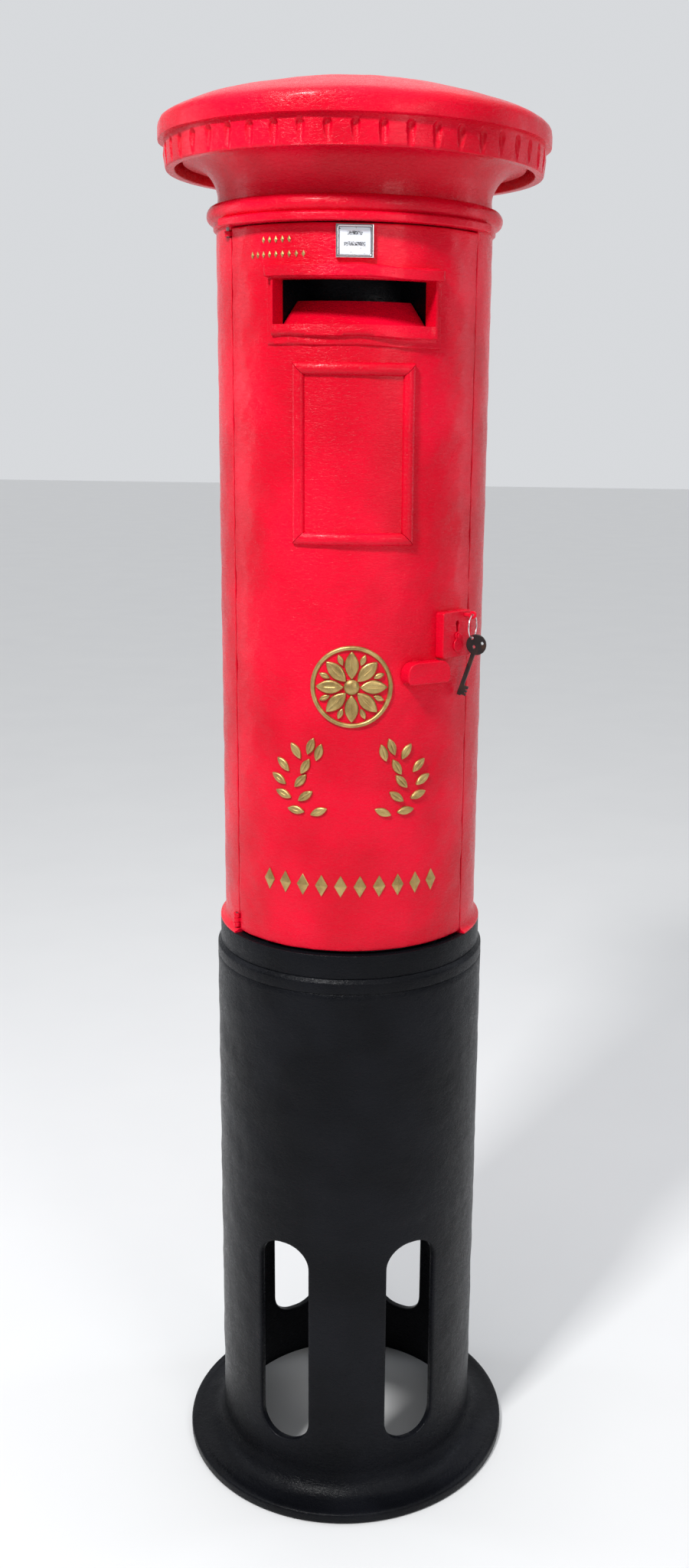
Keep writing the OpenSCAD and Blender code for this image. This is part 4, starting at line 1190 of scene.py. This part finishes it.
@dataclass
class Door:
    """The curved leaf with its knuckles and lock seat."""

    low: float = 908 * MM
    high: float = 1885 * MM
    half_a: float = 58.5
    bore: float = 180.5 * MM
    hinge_a: float = -61.0
    hinge_r: float = 191 * MM
    knuckle_r: float = 5.5 * MM
    knuckle_h: float = 6.6 * MM
    knuckles: tuple[float, float] = (917.5 * MM, 1875 * MM)
    lock_a: float = 46.0
    lock_z: float = 1369 * MM

    def openings(self) -> list[Opening]:
        """Gives the letter slot, the tablet's opening and the keyhole."""
        slot = half_azimuth(208.8 * MM, BODY_R)
        tablet = half_azimuth(41.8 * MM, BODY_R)
        key = math.degrees(3 * MM / BODY_R)
        return [
            Opening(-slot, slot, 1758.6 * MM, 1821.4 * MM),
            Opening(-tablet, tablet, 1845.6 * MM, 1880.4 * MM),
            Opening(self.lock_a - key, self.lock_a + key, self.lock_z - 10 * MM, self.lock_z + 7.6 * MM),
        ]

    def leaf(self, maker: Maker) -> None:
        """Builds the leaf, a curved plate with its openings."""
        holes = self.openings()
        edge = 0.35
        ends = [self.half_a - d for d in (0.12, edge)]
        marks_a = [x for h in holes for x in (h.a0, h.a1)] + ends + [-e for e in ends]
        azimuths = ruled(-self.half_a, self.half_a, 1.3, marks_a, 0.45)
        marks_z = [x for h in holes for x in (h.z0, h.z1)]
        rims = [self.low + 0.5 * MM, self.low + 1.4 * MM, self.high - 0.5 * MM, self.high - 1.4 * MM]
        z = ruled(self.low, self.high, 4.6 * MM, marks_z + rims, 1.2 * MM)
        skin = CastSkin(41, 0.30 * MM, 14 * MM, 70 * MM, 34)
        a, zz = azimuths[None], z[:, None]
        side = np.clip(1 - (self.half_a - np.abs(a)) / edge, 0, 1) ** 2
        rim = np.clip(1 - np.minimum(zz - self.low, self.high - zz) / (1.4 * MM), 0, 1) ** 2
        outer = BODY_R + skin.height(a, zz) - 0.8 * MM * np.maximum(side, rim)
        solid = np.ones((len(z) - 1, len(azimuths) - 1), bool)
        middle_a, middle_z = (azimuths[1:] + azimuths[:-1]) / 2, (z[1:] + z[:-1]) / 2
        for h in holes:
            solid[
                np.ix_((middle_z > h.z0) & (middle_z < h.z1), (middle_a > h.a0) & (middle_a < h.a1))
            ] = False
        shape = Shape()
        shape.wall(azimuths, z, outer, np.full_like(outer, self.bore), solid)
        maker.piece("door_leaf_casting", shape.mesh("door_leaf_casting"), Body.DOOR, Slot.RED, ["door_leaf"])

    def fittings(self, maker: Maker) -> None:
        """Builds the two knuckles on their arms and the flat seat of the lock."""
        place = Matrix.Rotation(math.radians(self.hinge_a), 4, "Z") @ Matrix.Translation(
            (0, -self.hinge_r, 0)
        )
        shape = Shape()
        for z in self.knuckles:
            ring = eased(
                [
                    (2.56 * MM, z),
                    (self.knuckle_r, z),
                    (self.knuckle_r, z + self.knuckle_h),
                    (2.56 * MM, z + self.knuckle_h),
                ],
                0.8 * MM,
            )
            shape.spin(ring, np.arange(28) * 360 / 28)
            low, high = z + 0.4 * MM, z + self.knuckle_h - 0.4 * MM
            arm = eased([(1.9 * MM, low), (7.2 * MM, low), (7.2 * MM, high), (1.9 * MM, high)], 0.8 * MM)
            loops = [
                np.stack([np.full(len(arm), x), arm[:, 0], arm[:, 1]], axis=-1)
                for x in (3.2 * MM, 6 * MM, 13 * MM)
            ]
            shape.loft(np.array(loops))
        mesh = shape.mesh("door_knuckles", place)
        maker.piece("door_knuckles", mesh, Body.DOOR, Slot.RED, ["door_leaf"])
        pad = Shape()
        box = eased([(-36, -31.5), (25, -31.5), (25, 33.5), (-36, 33.5)], 2.5) * MM
        loops = [
            np.stack([box[:, 0] * k, np.full(len(box), -n * MM), box[:, 1] * k], axis=-1)
            for n, k in ((174.4, 0.985), (175.2, 1.0), (183.0, 1.0))
        ]
        pad.loft(np.array(loops))
        place = Matrix.Translation((0, 0, self.lock_z)) @ Matrix.Rotation(
            math.radians(self.lock_a), 4, "Z"
        )
        maker.piece("lock_seat", pad.mesh("lock_seat", place), Body.DOOR, Slot.RED, ["door_leaf"])

    def build(self, maker: Maker) -> None:
        """Builds and dresses the door."""
        self.leaf(maker)
        self.fittings(maker)


@dataclass
class Relief:
    """A raised part of the slot surround: half its width, its two heights and how far it stands out."""

    half_a: float
    z0: float
    z1: float
    out: float
    soft: float = 1.3 * MM

    def height(self, azimuth: Array, z: Array) -> Array:
        """Gives how far it stands out at each place."""
        sides = (self.half_a - np.abs(azimuth)) / 180 * math.pi * BODY_R
        ends = np.minimum(z - self.z0, self.z1 - z)
        inside = np.clip(0.5 + np.minimum(sides, ends) / (2 * self.soft), 0, 1)
        return self.out * inside * inside * (3 - 2 * inside)


@dataclass
class Surround:
    """The raised frame and drip hood round the letter slot."""

    mid_z: float = 1790 * MM
    slot_a: float = 32.02
    slot_h: float = 56 * MM
    throat_r: float = 176 * MM
    throat_t: float = 3 * MM

    def reliefs(self) -> list[Relief]:
        """Gives the steps of the frame, from the lowest to the hood."""
        z = self.mid_z
        return [
            Relief(36.1, z - 54 * MM, z + 44 * MM, 3 * MM),
            Relief(33.4, z - 43 * MM, z + 42 * MM, 9 * MM, 1.5 * MM),
            Relief(35.2, z + 29 * MM, z + 44 * MM, 15 * MM, 1.4 * MM),
        ]

    def build(self, maker: Maker) -> None:
        """Builds and dresses the surround."""
        reliefs = self.reliefs()
        slot0, slot1 = self.mid_z - self.slot_h / 2, self.mid_z + self.slot_h / 2
        throat_a = self.slot_a + math.degrees(self.throat_t / BODY_R)
        soft_a = math.degrees(1.6 * MM / BODY_R)
        marks_a = [self.slot_a, self.slot_a + 0.3]
        for relief in reliefs:
            marks_a += around(relief.half_a, soft_a, 6)
        marks_a += [throat_a, throat_a + 0.05]
        marks_z = [slot0, slot1, slot0 - 1 * MM, slot0 - self.throat_t, slot0 - self.throat_t - 0.2 * MM]
        marks_z += [slot1 + self.throat_t, slot1 + self.throat_t + 0.2 * MM]
        for relief in reliefs:
            marks_z += around(relief.z0, relief.soft, 6) + around(relief.z1, relief.soft, 6)
        end = reliefs[0].half_a + soft_a
        low, high = reliefs[0].z0 - 1.4 * MM, reliefs[0].z1 + 1.5 * MM
        azimuths = ruled(-end, end, 1.3, marks_a + [-m for m in marks_a], 0.25)
        z = ruled(low, high, 3.5 * MM, marks_z, 0.5 * MM)
        a, zz = azimuths[None], z[:, None]
        lean = CastSkin(51, 0.7 * MM, 60 * MM, 240 * MM).height(a, np.array([[self.mid_z]]))
        rise = np.zeros((len(z), len(azimuths)))
        for relief in reliefs:
            rise = np.maximum(rise, relief.height(a, zz + lean))
        slope = np.clip((zz - (slot0 - 15 * MM)) / (15 * MM), 0, 1) * (zz <= slot0 + 1e-6)
        inside = np.abs(a) < self.slot_a
        rise = rise - slope * np.minimum(rise, 2.2 * MM) * inside
        skin = CastSkin(52, 0.32 * MM, 14 * MM, 60 * MM)
        lumps = skin.height(a, zz) * np.clip(rise / (3 * MM), 0, 1)
        outer = BODY_R - 0.35 * MM + rise + lumps
        throat_h = self.slot_h / 2 + self.throat_t
        tube = (np.abs(a) <= throat_a + 1e-6) & (np.abs(zz - self.mid_z) <= throat_h + 1e-6)
        inner = np.where(tube, self.throat_r, BODY_R - 0.6 * MM)
        solid = np.ones((len(z) - 1, len(azimuths) - 1), bool)
        middle_a, middle_z = (azimuths[1:] + azimuths[:-1]) / 2, (z[1:] + z[:-1]) / 2
        solid[np.ix_((middle_z > slot0) & (middle_z < slot1), np.abs(middle_a) < self.slot_a)] = False
        shape = Shape()
        shape.wall(azimuths, z, outer, inner, solid)
        maker.piece(
            "slot_surround", shape.mesh("slot_surround"), Body.DOOR, Slot.RED, ["aperture_surround"], sharp=60
        )


@dataclass
class NoticeFrame:
    """Four mitred half-round mouldings round a thin plate."""

    width: float = 160 * MM
    low: float = 1481 * MM
    high: float = 1716 * MM
    moulding: float = 17 * MM
    mitre_gap: float = 0.5 * MM

    def member(
        self, shape: Shape, start: tuple[float, float], end: tuple[float, float], skin: CastSkin
    ) -> None:
        """Adds one moulding between two corners of its middle line.

        Args:
            shape: The shape to add to.
            start: Arc length and height of the first corner.
            end: Arc length and height of the second corner.
            skin: Waves of the paint.
        """
        a, b = np.array(start), np.array(end)
        along = (b - a) / np.linalg.norm(b - a)
        across = np.array([-along[1], along[0]])
        half = self.moulding / 2
        turn = np.radians(np.linspace(0, 180, 17))
        side = np.append(np.cos(turn), [-0.98, 0.98]) * half
        out = np.append(np.sin(turn) ** 0.85, [-0.06, -0.06]) * half
        count = max(6, round(float(np.linalg.norm(b - a)) / (5 * MM)))
        loops = []
        for t in np.linspace(0, 1, count + 1):
            first = a + along * self.mitre_gap - along * side[:, None]
            last = b - along * self.mitre_gap + along * side[:, None]
            place = first * (1 - t) + last * t + across * side[:, None]
            azimuth = np.degrees(place[:, 0] / BODY_R)
            wave = skin.height(azimuth, place[:, 1]) * np.clip(out / half, 0, 1)
            loops.append(polar(azimuth, BODY_R + out + wave, place[:, 1]))
        shape.loft(np.array(loops))

    def build(self, maker: Maker) -> None:
        """Builds and dresses the frame and its plate."""
        half = self.moulding / 2
        reach = math.radians(half_azimuth(self.width - self.moulding, BODY_R)) * BODY_R
        low, high = self.low + half, self.high - half
        corners = [(-reach, low), (reach, low), (reach, high), (-reach, high)]
        skin = CastSkin(61, 0.25 * MM, 16 * MM, 80 * MM)
        shape = Shape()
        for first, second in zip(corners, corners[1:] + corners[:1], strict=True):
            self.member(shape, second, first, skin)
        maker.piece(
            "notice_moulding", shape.mesh("notice_moulding"), Body.DOOR, Slot.RED, ["notice_frame"], sharp=50
        )
        plate = Shape()
        inner_a = math.degrees((reach - half + 0.5 * MM) / BODY_R)
        azimuths = ruled(-inner_a, inner_a, 1.4)
        z = ruled(low + half - 0.5 * MM, high - half + 0.5 * MM, 5 * MM)
        surface = CastSkin(62, 0.2 * MM, 18 * MM, 90 * MM).height(azimuths[None], z[:, None])
        outer = BODY_R + 1.6 * MM + surface
        solid = np.ones((len(z) - 1, len(azimuths) - 1), bool)
        plate.wall(azimuths, z, outer, np.full_like(outer, BODY_R - 0.6 * MM), solid)
        maker.piece("notice_panel", plate.mesh("notice_panel"), Body.DOOR, Slot.RED, ["notice_plate"])


@dataclass
class Tablet:
    """The small enamel tablet in its bright bezel."""

    width: float = 40.2 * MM
    height: float = 33.2 * MM
    face: float = 192.5 * MM

    def build(self, maker: Maker) -> None:
        """Builds and dresses the bezel and the plate."""
        mesh = Casting(0.6 * MM, 4).node("tablet_bezel", "tablet_bezel_plate")
        maker.piece("tablet_bezel_plate", mesh, Body.DOOR, Slot.BRIGHT, ["tablet_bezel"])
        shape = Shape()
        corners = [
            (-self.width / 2, -self.height / 2),
            (self.width / 2, -self.height / 2),
            (self.width / 2, self.height / 2),
            (-self.width / 2, self.height / 2),
        ]
        outline = eased(corners, 1.6 * MM, 4)
        steps = ((-2.0, 1.0), (-0.6, 1.0), (-0.2, 0.985), (-0.05, 0.95), (0.0, 0.8), (0.05, 0.4))
        loops = []
        for out, k in (*steps, (0.06, 0.05)):
            front = np.full(len(outline), -(self.face + out * MM))
            loops.append(np.stack([outline[:, 0] * k, front, TABLET_Z + outline[:, 1] * k], axis=-1))
        shape.loft(np.array(loops))
        maker.piece(
            "enamel_tablet", shape.mesh("enamel_tablet"), Body.TABLET, Slot.ENAMEL, ["tablet_plate"]
        )


# ---------------------------------------------------------------- lock furniture


@dataclass
class LockFurniture:
    """Lock boss, keyhole cover, ring lug, pull, split ring and key."""

    lock_a: float = 46.0
    lock_z: float = 1369 * MM
    face: float = 203 * MM
    lug_s: float = 16 * MM
    lug_up: float = 14 * MM
    lug_turn: float = 20.0
    lug_out: float = 11 * MM
    ring_r: float = 16 * MM

    def ring_top(self) -> Matrix:
        """Gives the place where the ring hangs in its lug."""
        turn = Matrix.Rotation
        return (
            turn(math.radians(self.lock_a), 4, "Z")
            @ Matrix.Translation((self.lug_s, -self.face, self.lug_up + self.lock_z))
            @ turn(math.radians(self.lug_turn), 4, "Z")
            @ Matrix.Translation((0, -self.lug_out, 0))
        )

    def ring(self, maker: Maker) -> None:
        """Builds the split ring, two turns of flattened wire."""
        turn = np.radians(np.linspace(0, 715, 144))
        rise = np.linspace(-0.62, 0.62, 144) * MM
        path = np.stack([self.ring_r * np.sin(turn), rise, self.ring_r * np.cos(turn) - self.ring_r], axis=-1)
        shape = Shape()
        shape.tube(path, 0.68 * MM, 12, 1.25)
        mesh = shape.mesh("split_key_ring", self.ring_top())
        maker.piece("split_key_ring", mesh, Body.RING, Slot.BRIGHT, ["split_ring"])

    def build(self, maker: Maker) -> None:
        """Builds and dresses the furniture."""
        parts = (
            ("lock_boss", "lock_boss_casting", Casting(0.9 * MM, 8, 0.5 * MM, 14 * MM), Body.DOOR, Slot.RED),
            ("door_pull", "pull_casting", Casting(1.0 * MM, 14, 0.6 * MM, 14 * MM), Body.DOOR, Slot.RED),
            ("ring_lug", "ring_eye", Casting(0.5 * MM, 5), Body.DOOR, Slot.RED),
            ("cover_pin", "cover_rivet", Casting(0.4 * MM, 5), Body.DOOR, Slot.RED),
            ("keyhole_cover", "keyhole_flap", Casting(0.5 * MM, 8, 0.3 * MM, 6 * MM), Body.COVER, Slot.RED),
            ("door_key", "iron_key", Casting(0.4 * MM, 5, 0.15 * MM, 5 * MM), Body.KEY, Slot.IRON),
        )
        for node, name, casting, body, slot in parts:
            maker.piece(name, casting.node(node, name), body, slot, [node])
        self.ring(maker)


# ---------------------------------------------------------------- gilt ornament


@dataclass
class Gilding:
    """Rosette, leaf sprays, lozenge row and pips on the door."""

    rosette_z: float = 1290.5 * MM
    rosette_r: float = 57 * MM
    spray_z: float = 1155.5 * MM
    spray_h: float = 125 * MM
    band_z: float = 1005 * MM
    out: float = 4 * MM
    vein: float = 1 * MM

    def onto(self, azimuth: float, z: float, flat: Array, rise: Array) -> Array:
        """Lays a drawing on the door.

        Args:
            azimuth: Where its middle goes.
            z: Height of its middle.
            flat: Arc length and height of each point from the middle.
            rise: How far each point stands out.

        Returns:
            The points in place.
        """
        return polar(azimuth + np.degrees(flat[..., 0] / BODY_R), BODY_R + rise, z + flat[..., 1])

    def leaf(
        self, shape: Shape, azimuth: float, z: float, turn: float, size: tuple[float, float]
    ) -> None:
        """Adds one pointed leaf with a rounded back and a sunk vein.

        Args:
            shape: The shape to add to.
            azimuth: Azimuth of its middle.
            z: Height of its middle.
            turn: How far it leans to the left, in degrees.
            size: Length and width.
        """
        length, width = size
        across = np.linspace(-1, 1, 15)
        lean = math.radians(turn)
        loops = []
        for t in np.linspace(0.015, 0.985, 20):
            w = width / 2 * math.sin(math.pi * t) ** 0.8
            top = self.out * (0.45 + 0.55 * np.sqrt(np.maximum(0, 1 - across**2)))
            top = top - self.vein * np.exp(-((across * w / (0.9 * MM)) ** 2)) * math.sin(math.pi * t)
            x = np.concatenate([across * w, [w, -w]])
            y = np.full(len(x), (t - 0.5) * length)
            rise = np.concatenate([top * min(1.0, 0.55 + w / (3 * MM) * 0.45), [-0.5 * MM, -0.5 * MM]])
            flat = np.stack(
                [x * math.cos(lean) - y * math.sin(lean), x * math.sin(lean) + y * math.cos(lean)], axis=-1
            )
            loops.append(self.onto(azimuth, z, flat, rise))
        shape.loft(np.array(loops))

    def rosette(self, maker: Maker) -> None:
        """Builds the rosette: beaded ring, eight petals, eight small leaves and a button."""
        shape = Shape()
        turn = np.linspace(0, 2 * math.pi, 96, endpoint=False)
        cross = np.linspace(0, math.pi, 9)
        side = np.append(np.cos(cross), [-1.0, 1.0]) * 3.2 * MM
        rise = np.append(np.sin(cross) * 3.4 * MM + 0.6 * MM, [-0.5 * MM, -0.5 * MM])
        radius = self.rosette_r - 3.3 * MM + side
        loops = []
        for t in turn:
            flat = np.stack([radius * math.cos(t), radius * math.sin(t)], axis=-1)
            loops.append(self.onto(0, self.rosette_z, flat, rise))
        shape.loft(np.array(loops), wrap=True)
        for i in range(8):
            for lean, reach, size in (
                (i * 45.0, 30 * MM, (38 * MM, 19 * MM)),
                (i * 45.0 + 22.5, 40 * MM, (16 * MM, 8 * MM)),
            ):
                x, y = -reach * math.sin(math.radians(lean)), reach * math.cos(math.radians(lean))
                self.leaf(shape, math.degrees(x / BODY_R), self.rosette_z + y, lean, size)
        button = []
        for share in (1.0, 0.98, 0.9, 0.75, 0.55, 0.3, 0.05):
            r = 11 * MM * share
            lift = 6 * MM * math.sqrt(max(0.0, 1 - share**2)) + (0.5 * MM if share < 1 else -0.5 * MM)
            flat = np.stack([r * np.cos(turn[::3]), r * np.sin(turn[::3])], axis=-1)
            button.append(self.onto(0, self.rosette_z, flat, np.full(32, lift)))
        shape.loft(np.array(button))
        maker.piece("gilt_rosette", shape.mesh("gilt_rosette"), Body.DOOR, Slot.GILT, ["rosette"], sharp=55)

    def sprays(self, maker: Maker) -> None:
        """Builds the two mirrored sprays of leaves."""
        shape = Shape()
        for mirror in (-1, 1):
            for i in range(5):
                t = i / 4
                a = 10 + 16 * math.sin(math.radians(30 + 120 * t))
                z = self.spray_z - self.spray_h / 2 + 16 * MM + t * (self.spray_h - 40 * MM) + 4 * MM
                for off, lean in ((-4.5, 67 - 50 * t), (5.5, 50 * t - 83)):
                    self.leaf(shape, mirror * (a + off), z, mirror * lean, (26 * MM, 12 * MM))
            top = self.spray_z + self.spray_h / 2 - 12 * MM
            self.leaf(shape, mirror * 17, top, mirror * 20, (26 * MM, 12 * MM))
        maker.piece("gilt_sprays", shape.mesh("gilt_sprays"), Body.DOOR, Slot.GILT, ["leaf_sprays"], sharp=55)

    def lozenge(self, shape: Shape, azimuth: float, z: float, size: tuple[float, float], out: float) -> None:
        """Adds one low four-sided pyramid."""
        corners = np.array([(-size[0], 0), (0, -size[1]), (size[0], 0), (0, size[1])])
        loops = [
            self.onto(azimuth, z, corners * k, np.full(4, rise))
            for k, rise in ((1.0, -0.5 * MM), (1.0, out * 0.35), (0.93, out * 0.5), (0.12, out), (0.02, out))
        ]
        shape.loft(np.array(loops))

    def rows(self, maker: Maker) -> None:
        """Builds the row of lozenges and the small pips."""
        band = Shape()
        for i in range(10):
            self.lozenge(band, -37 + i * 74 / 9, self.band_z, (9 * MM, 16 * MM), 3 * MM)
        maker.piece(
            "gilt_lozenges", band.mesh("gilt_lozenges"), Body.DOOR, Slot.GILT, ["lozenge_band"], sharp=12
        )
        pips = Shape()
        for count, z in ((5, 1866 * MM), (9, 1848 * MM)):
            for i in range(count):
                self.lozenge(pips, -32 + (i - (count - 1) / 2) * 3, z, (2.6 * MM, 4.5 * MM), 1.5 * MM)
        maker.piece("gilt_pips", pips.mesh("gilt_pips"), Body.DOOR, Slot.GILT, ["pip_rows"], sharp=12)

    def build(self, maker: Maker) -> None:
        """Builds and dresses the ornament."""
        self.rosette(maker)
        self.sprays(maker)
        self.rows(maker)


# ---------------------------------------------------------------- frame nodes and studio


@dataclass
class FrameNodes:
    """The nodes of the frame that stay as they are and only get a finish."""

    sharp: float = 38.0

    def dress(self, palette: Palette) -> None:
        """Gives each node that still shows the finish of its slot."""
        slots = {row["node"]: Slot(row["material_slot"]) for row in frame["record"]["subparts"]}
        for name, node in frame["nodes"].items():
            if node.hide_render:
                continue
            node.data.materials.clear()
            node.data.materials.append(palette.by_slot[slots.get(name, Slot.STEEL)])
            node.data.shade_smooth()
            node.data.set_sharp_from_angle(angle=math.radians(self.sharp))
            LOG.info("%s: dressed in %s", name, slots.get(name, Slot.STEEL).value)


@dataclass
class Softbox:
    """One soft studio light."""

    name: str
    place: tuple[float, float, float]
    aim: tuple[float, float, float]
    size: tuple[float, float]
    power: float
    tint: tuple[float, float, float] = (1.0, 1.0, 1.0)

    def build(self) -> None:
        """Places the light."""
        data = bpy.data.lights.new(self.name, "AREA")
        data.shape = "RECTANGLE"
        data.size, data.size_y = self.size
        data.energy = self.power
        data.color = self.tint
        lamp = bpy.data.objects.new(self.name, data)
        bpy.context.scene.collection.objects.link(lamp)
        lamp.location = self.place
        lamp.rotation_euler = (Vector(self.aim) - Vector(self.place)).to_track_quat("-Z", "Y").to_euler()


@dataclass
class Studio:
    """Pale floor, soft light and camera."""

    eye: tuple[float, float, float] = (0.0, -2.164, 1.663)
    turn: float = 2.045
    tilt: float = 14.426
    roll: float = 0.922
    lens: float = 33.806
    shift: float = -0.0366
    fade: tuple[float, float, float, float] = (0.40, 0.95, 0.16, 0.72)
    zenith: tuple[float, float, float, float] = (0.40, 0.90, 0.0, 0.85)

    def floor(self) -> None:
        """Lays a pale floor that runs out of sight."""
        graph = Graph("studio_floor")
        tone = graph.blend(graph.noise(3, 4.0), (0.80, 0.80, 0.80, 1), (0.84, 0.84, 0.835, 1))
        graph.sets(Base_Color=tone, Roughness=0.75, Normal=graph.bump(graph.noise(240, 3.0), 0.1, 0.2 * MM))
        mesh = bpy.data.meshes.new("studio_floor")
        reach = 30.0
        corners = [(-reach, -reach, 0), (reach, -reach, 0), (reach, reach, 0), (-reach, reach, 0)]
        mesh.from_pydata(corners, [], [(0, 1, 2, 3)])
        mesh.materials.append(graph.material)
        floor = bpy.data.objects.new("studio_floor", mesh)
        bpy.context.scene.collection.objects.link(floor)

    def world(self) -> None:
        """Surrounds the scene with pale light that is dim towards the front and brighter behind the box and
        overhead.
        """
        world = bpy.data.worlds.new("studio_air")
        world.use_nodes = True
        tree = world.node_tree
        ground = tree.nodes["Background"]
        ground.inputs["Color"].default_value = (0.95, 0.97, 1.0, 1)
        place = tree.nodes.new("ShaderNodeTexCoord")
        parts = tree.nodes.new("ShaderNodeSeparateXYZ")
        total = tree.nodes.new("ShaderNodeMath")
        tree.links.new(place.outputs["Generated"], parts.inputs[0])
        for index, (axis, limits) in enumerate((("Y", self.fade), ("Z", self.zenith))):
            ramp = tree.nodes.new("ShaderNodeMapRange")
            ramp.interpolation_type = "SMOOTHSTEP"
            for name, number in zip(("From Min", "From Max", "To Min", "To Max"), limits, strict=True):
                ramp.inputs[name].default_value = number
            tree.links.new(parts.outputs[axis], ramp.inputs["Value"])
            tree.links.new(ramp.outputs[0], total.inputs[index])
        tree.links.new(total.outputs[0], ground.inputs["Strength"])
        bpy.context.scene.world = world

    def camera(self) -> None:
        """Places the camera."""
        yaw, pitch, roll = (math.radians(v) for v in (self.turn, self.tilt, self.roll))
        ahead = Vector(
            (math.sin(yaw) * math.cos(pitch), math.cos(yaw) * math.cos(pitch), -math.sin(pitch))
        )
        right = Vector((math.cos(yaw), -math.sin(yaw), 0))
        up = right.cross(ahead)
        tilted = math.cos(roll) * right + math.sin(roll) * up
        upright = -math.sin(roll) * right + math.cos(roll) * up
        data = bpy.data.cameras.new("studio_camera")
        data.lens = self.lens
        data.sensor_width = 36.0
        data.shift_x = self.shift
        data.clip_end = 200
        eye = bpy.data.objects.new("studio_camera", data)
        bpy.context.scene.collection.objects.link(eye)
        turned = Matrix((tilted, upright, -ahead)).transposed().to_4x4()
        eye.matrix_world = Matrix.Translation(self.eye) @ turned
        bpy.context.scene.camera = eye

    def build(self) -> None:
        """Sets up the studio."""
        self.floor()
        self.world()
        self.camera()
        lights = (
            Softbox("key_light", (-1.35, -2.1, 4.0), (0, 0, 1.3), (0.45, 0.45), 118),
            Softbox("fill_light", (1.7, -3.0, 2.3), (0, 0, 1.1), (1.0, 1.2), 20),
            Softbox("left_rim", (-2.4, 0.6, 1.8), (0, 0, 1.0), (0.5, 2.0), 9, (0.86, 0.92, 1.0)),
            Softbox("right_rim", (2.4, 0.6, 1.8), (0, 0, 1.0), (0.5, 2.0), 9, (0.86, 0.92, 1.0)),
        )
        for light in lights:
            light.build()
        bpy.context.scene.view_settings.view_transform = "Standard"


def main() -> None:
    """Builds the pieces in order, dresses the frame and sets up the studio."""
    logging.basicConfig(level=logging.INFO, format="%(name)s: %(message)s")
    palette = Palette()
    maker = Maker(palette)
    for assembly in (
        Pedestal(),
        Barrel(),
        Cap(),
        Door(),
        Surround(),
        NoticeFrame(),
        Tablet(),
        LockFurniture(),
        Gilding(),
    ):
        assembly.build(maker)
    FrameNodes().dress(palette)
    Studio().build()


if __name__ == "__main__":
    main()
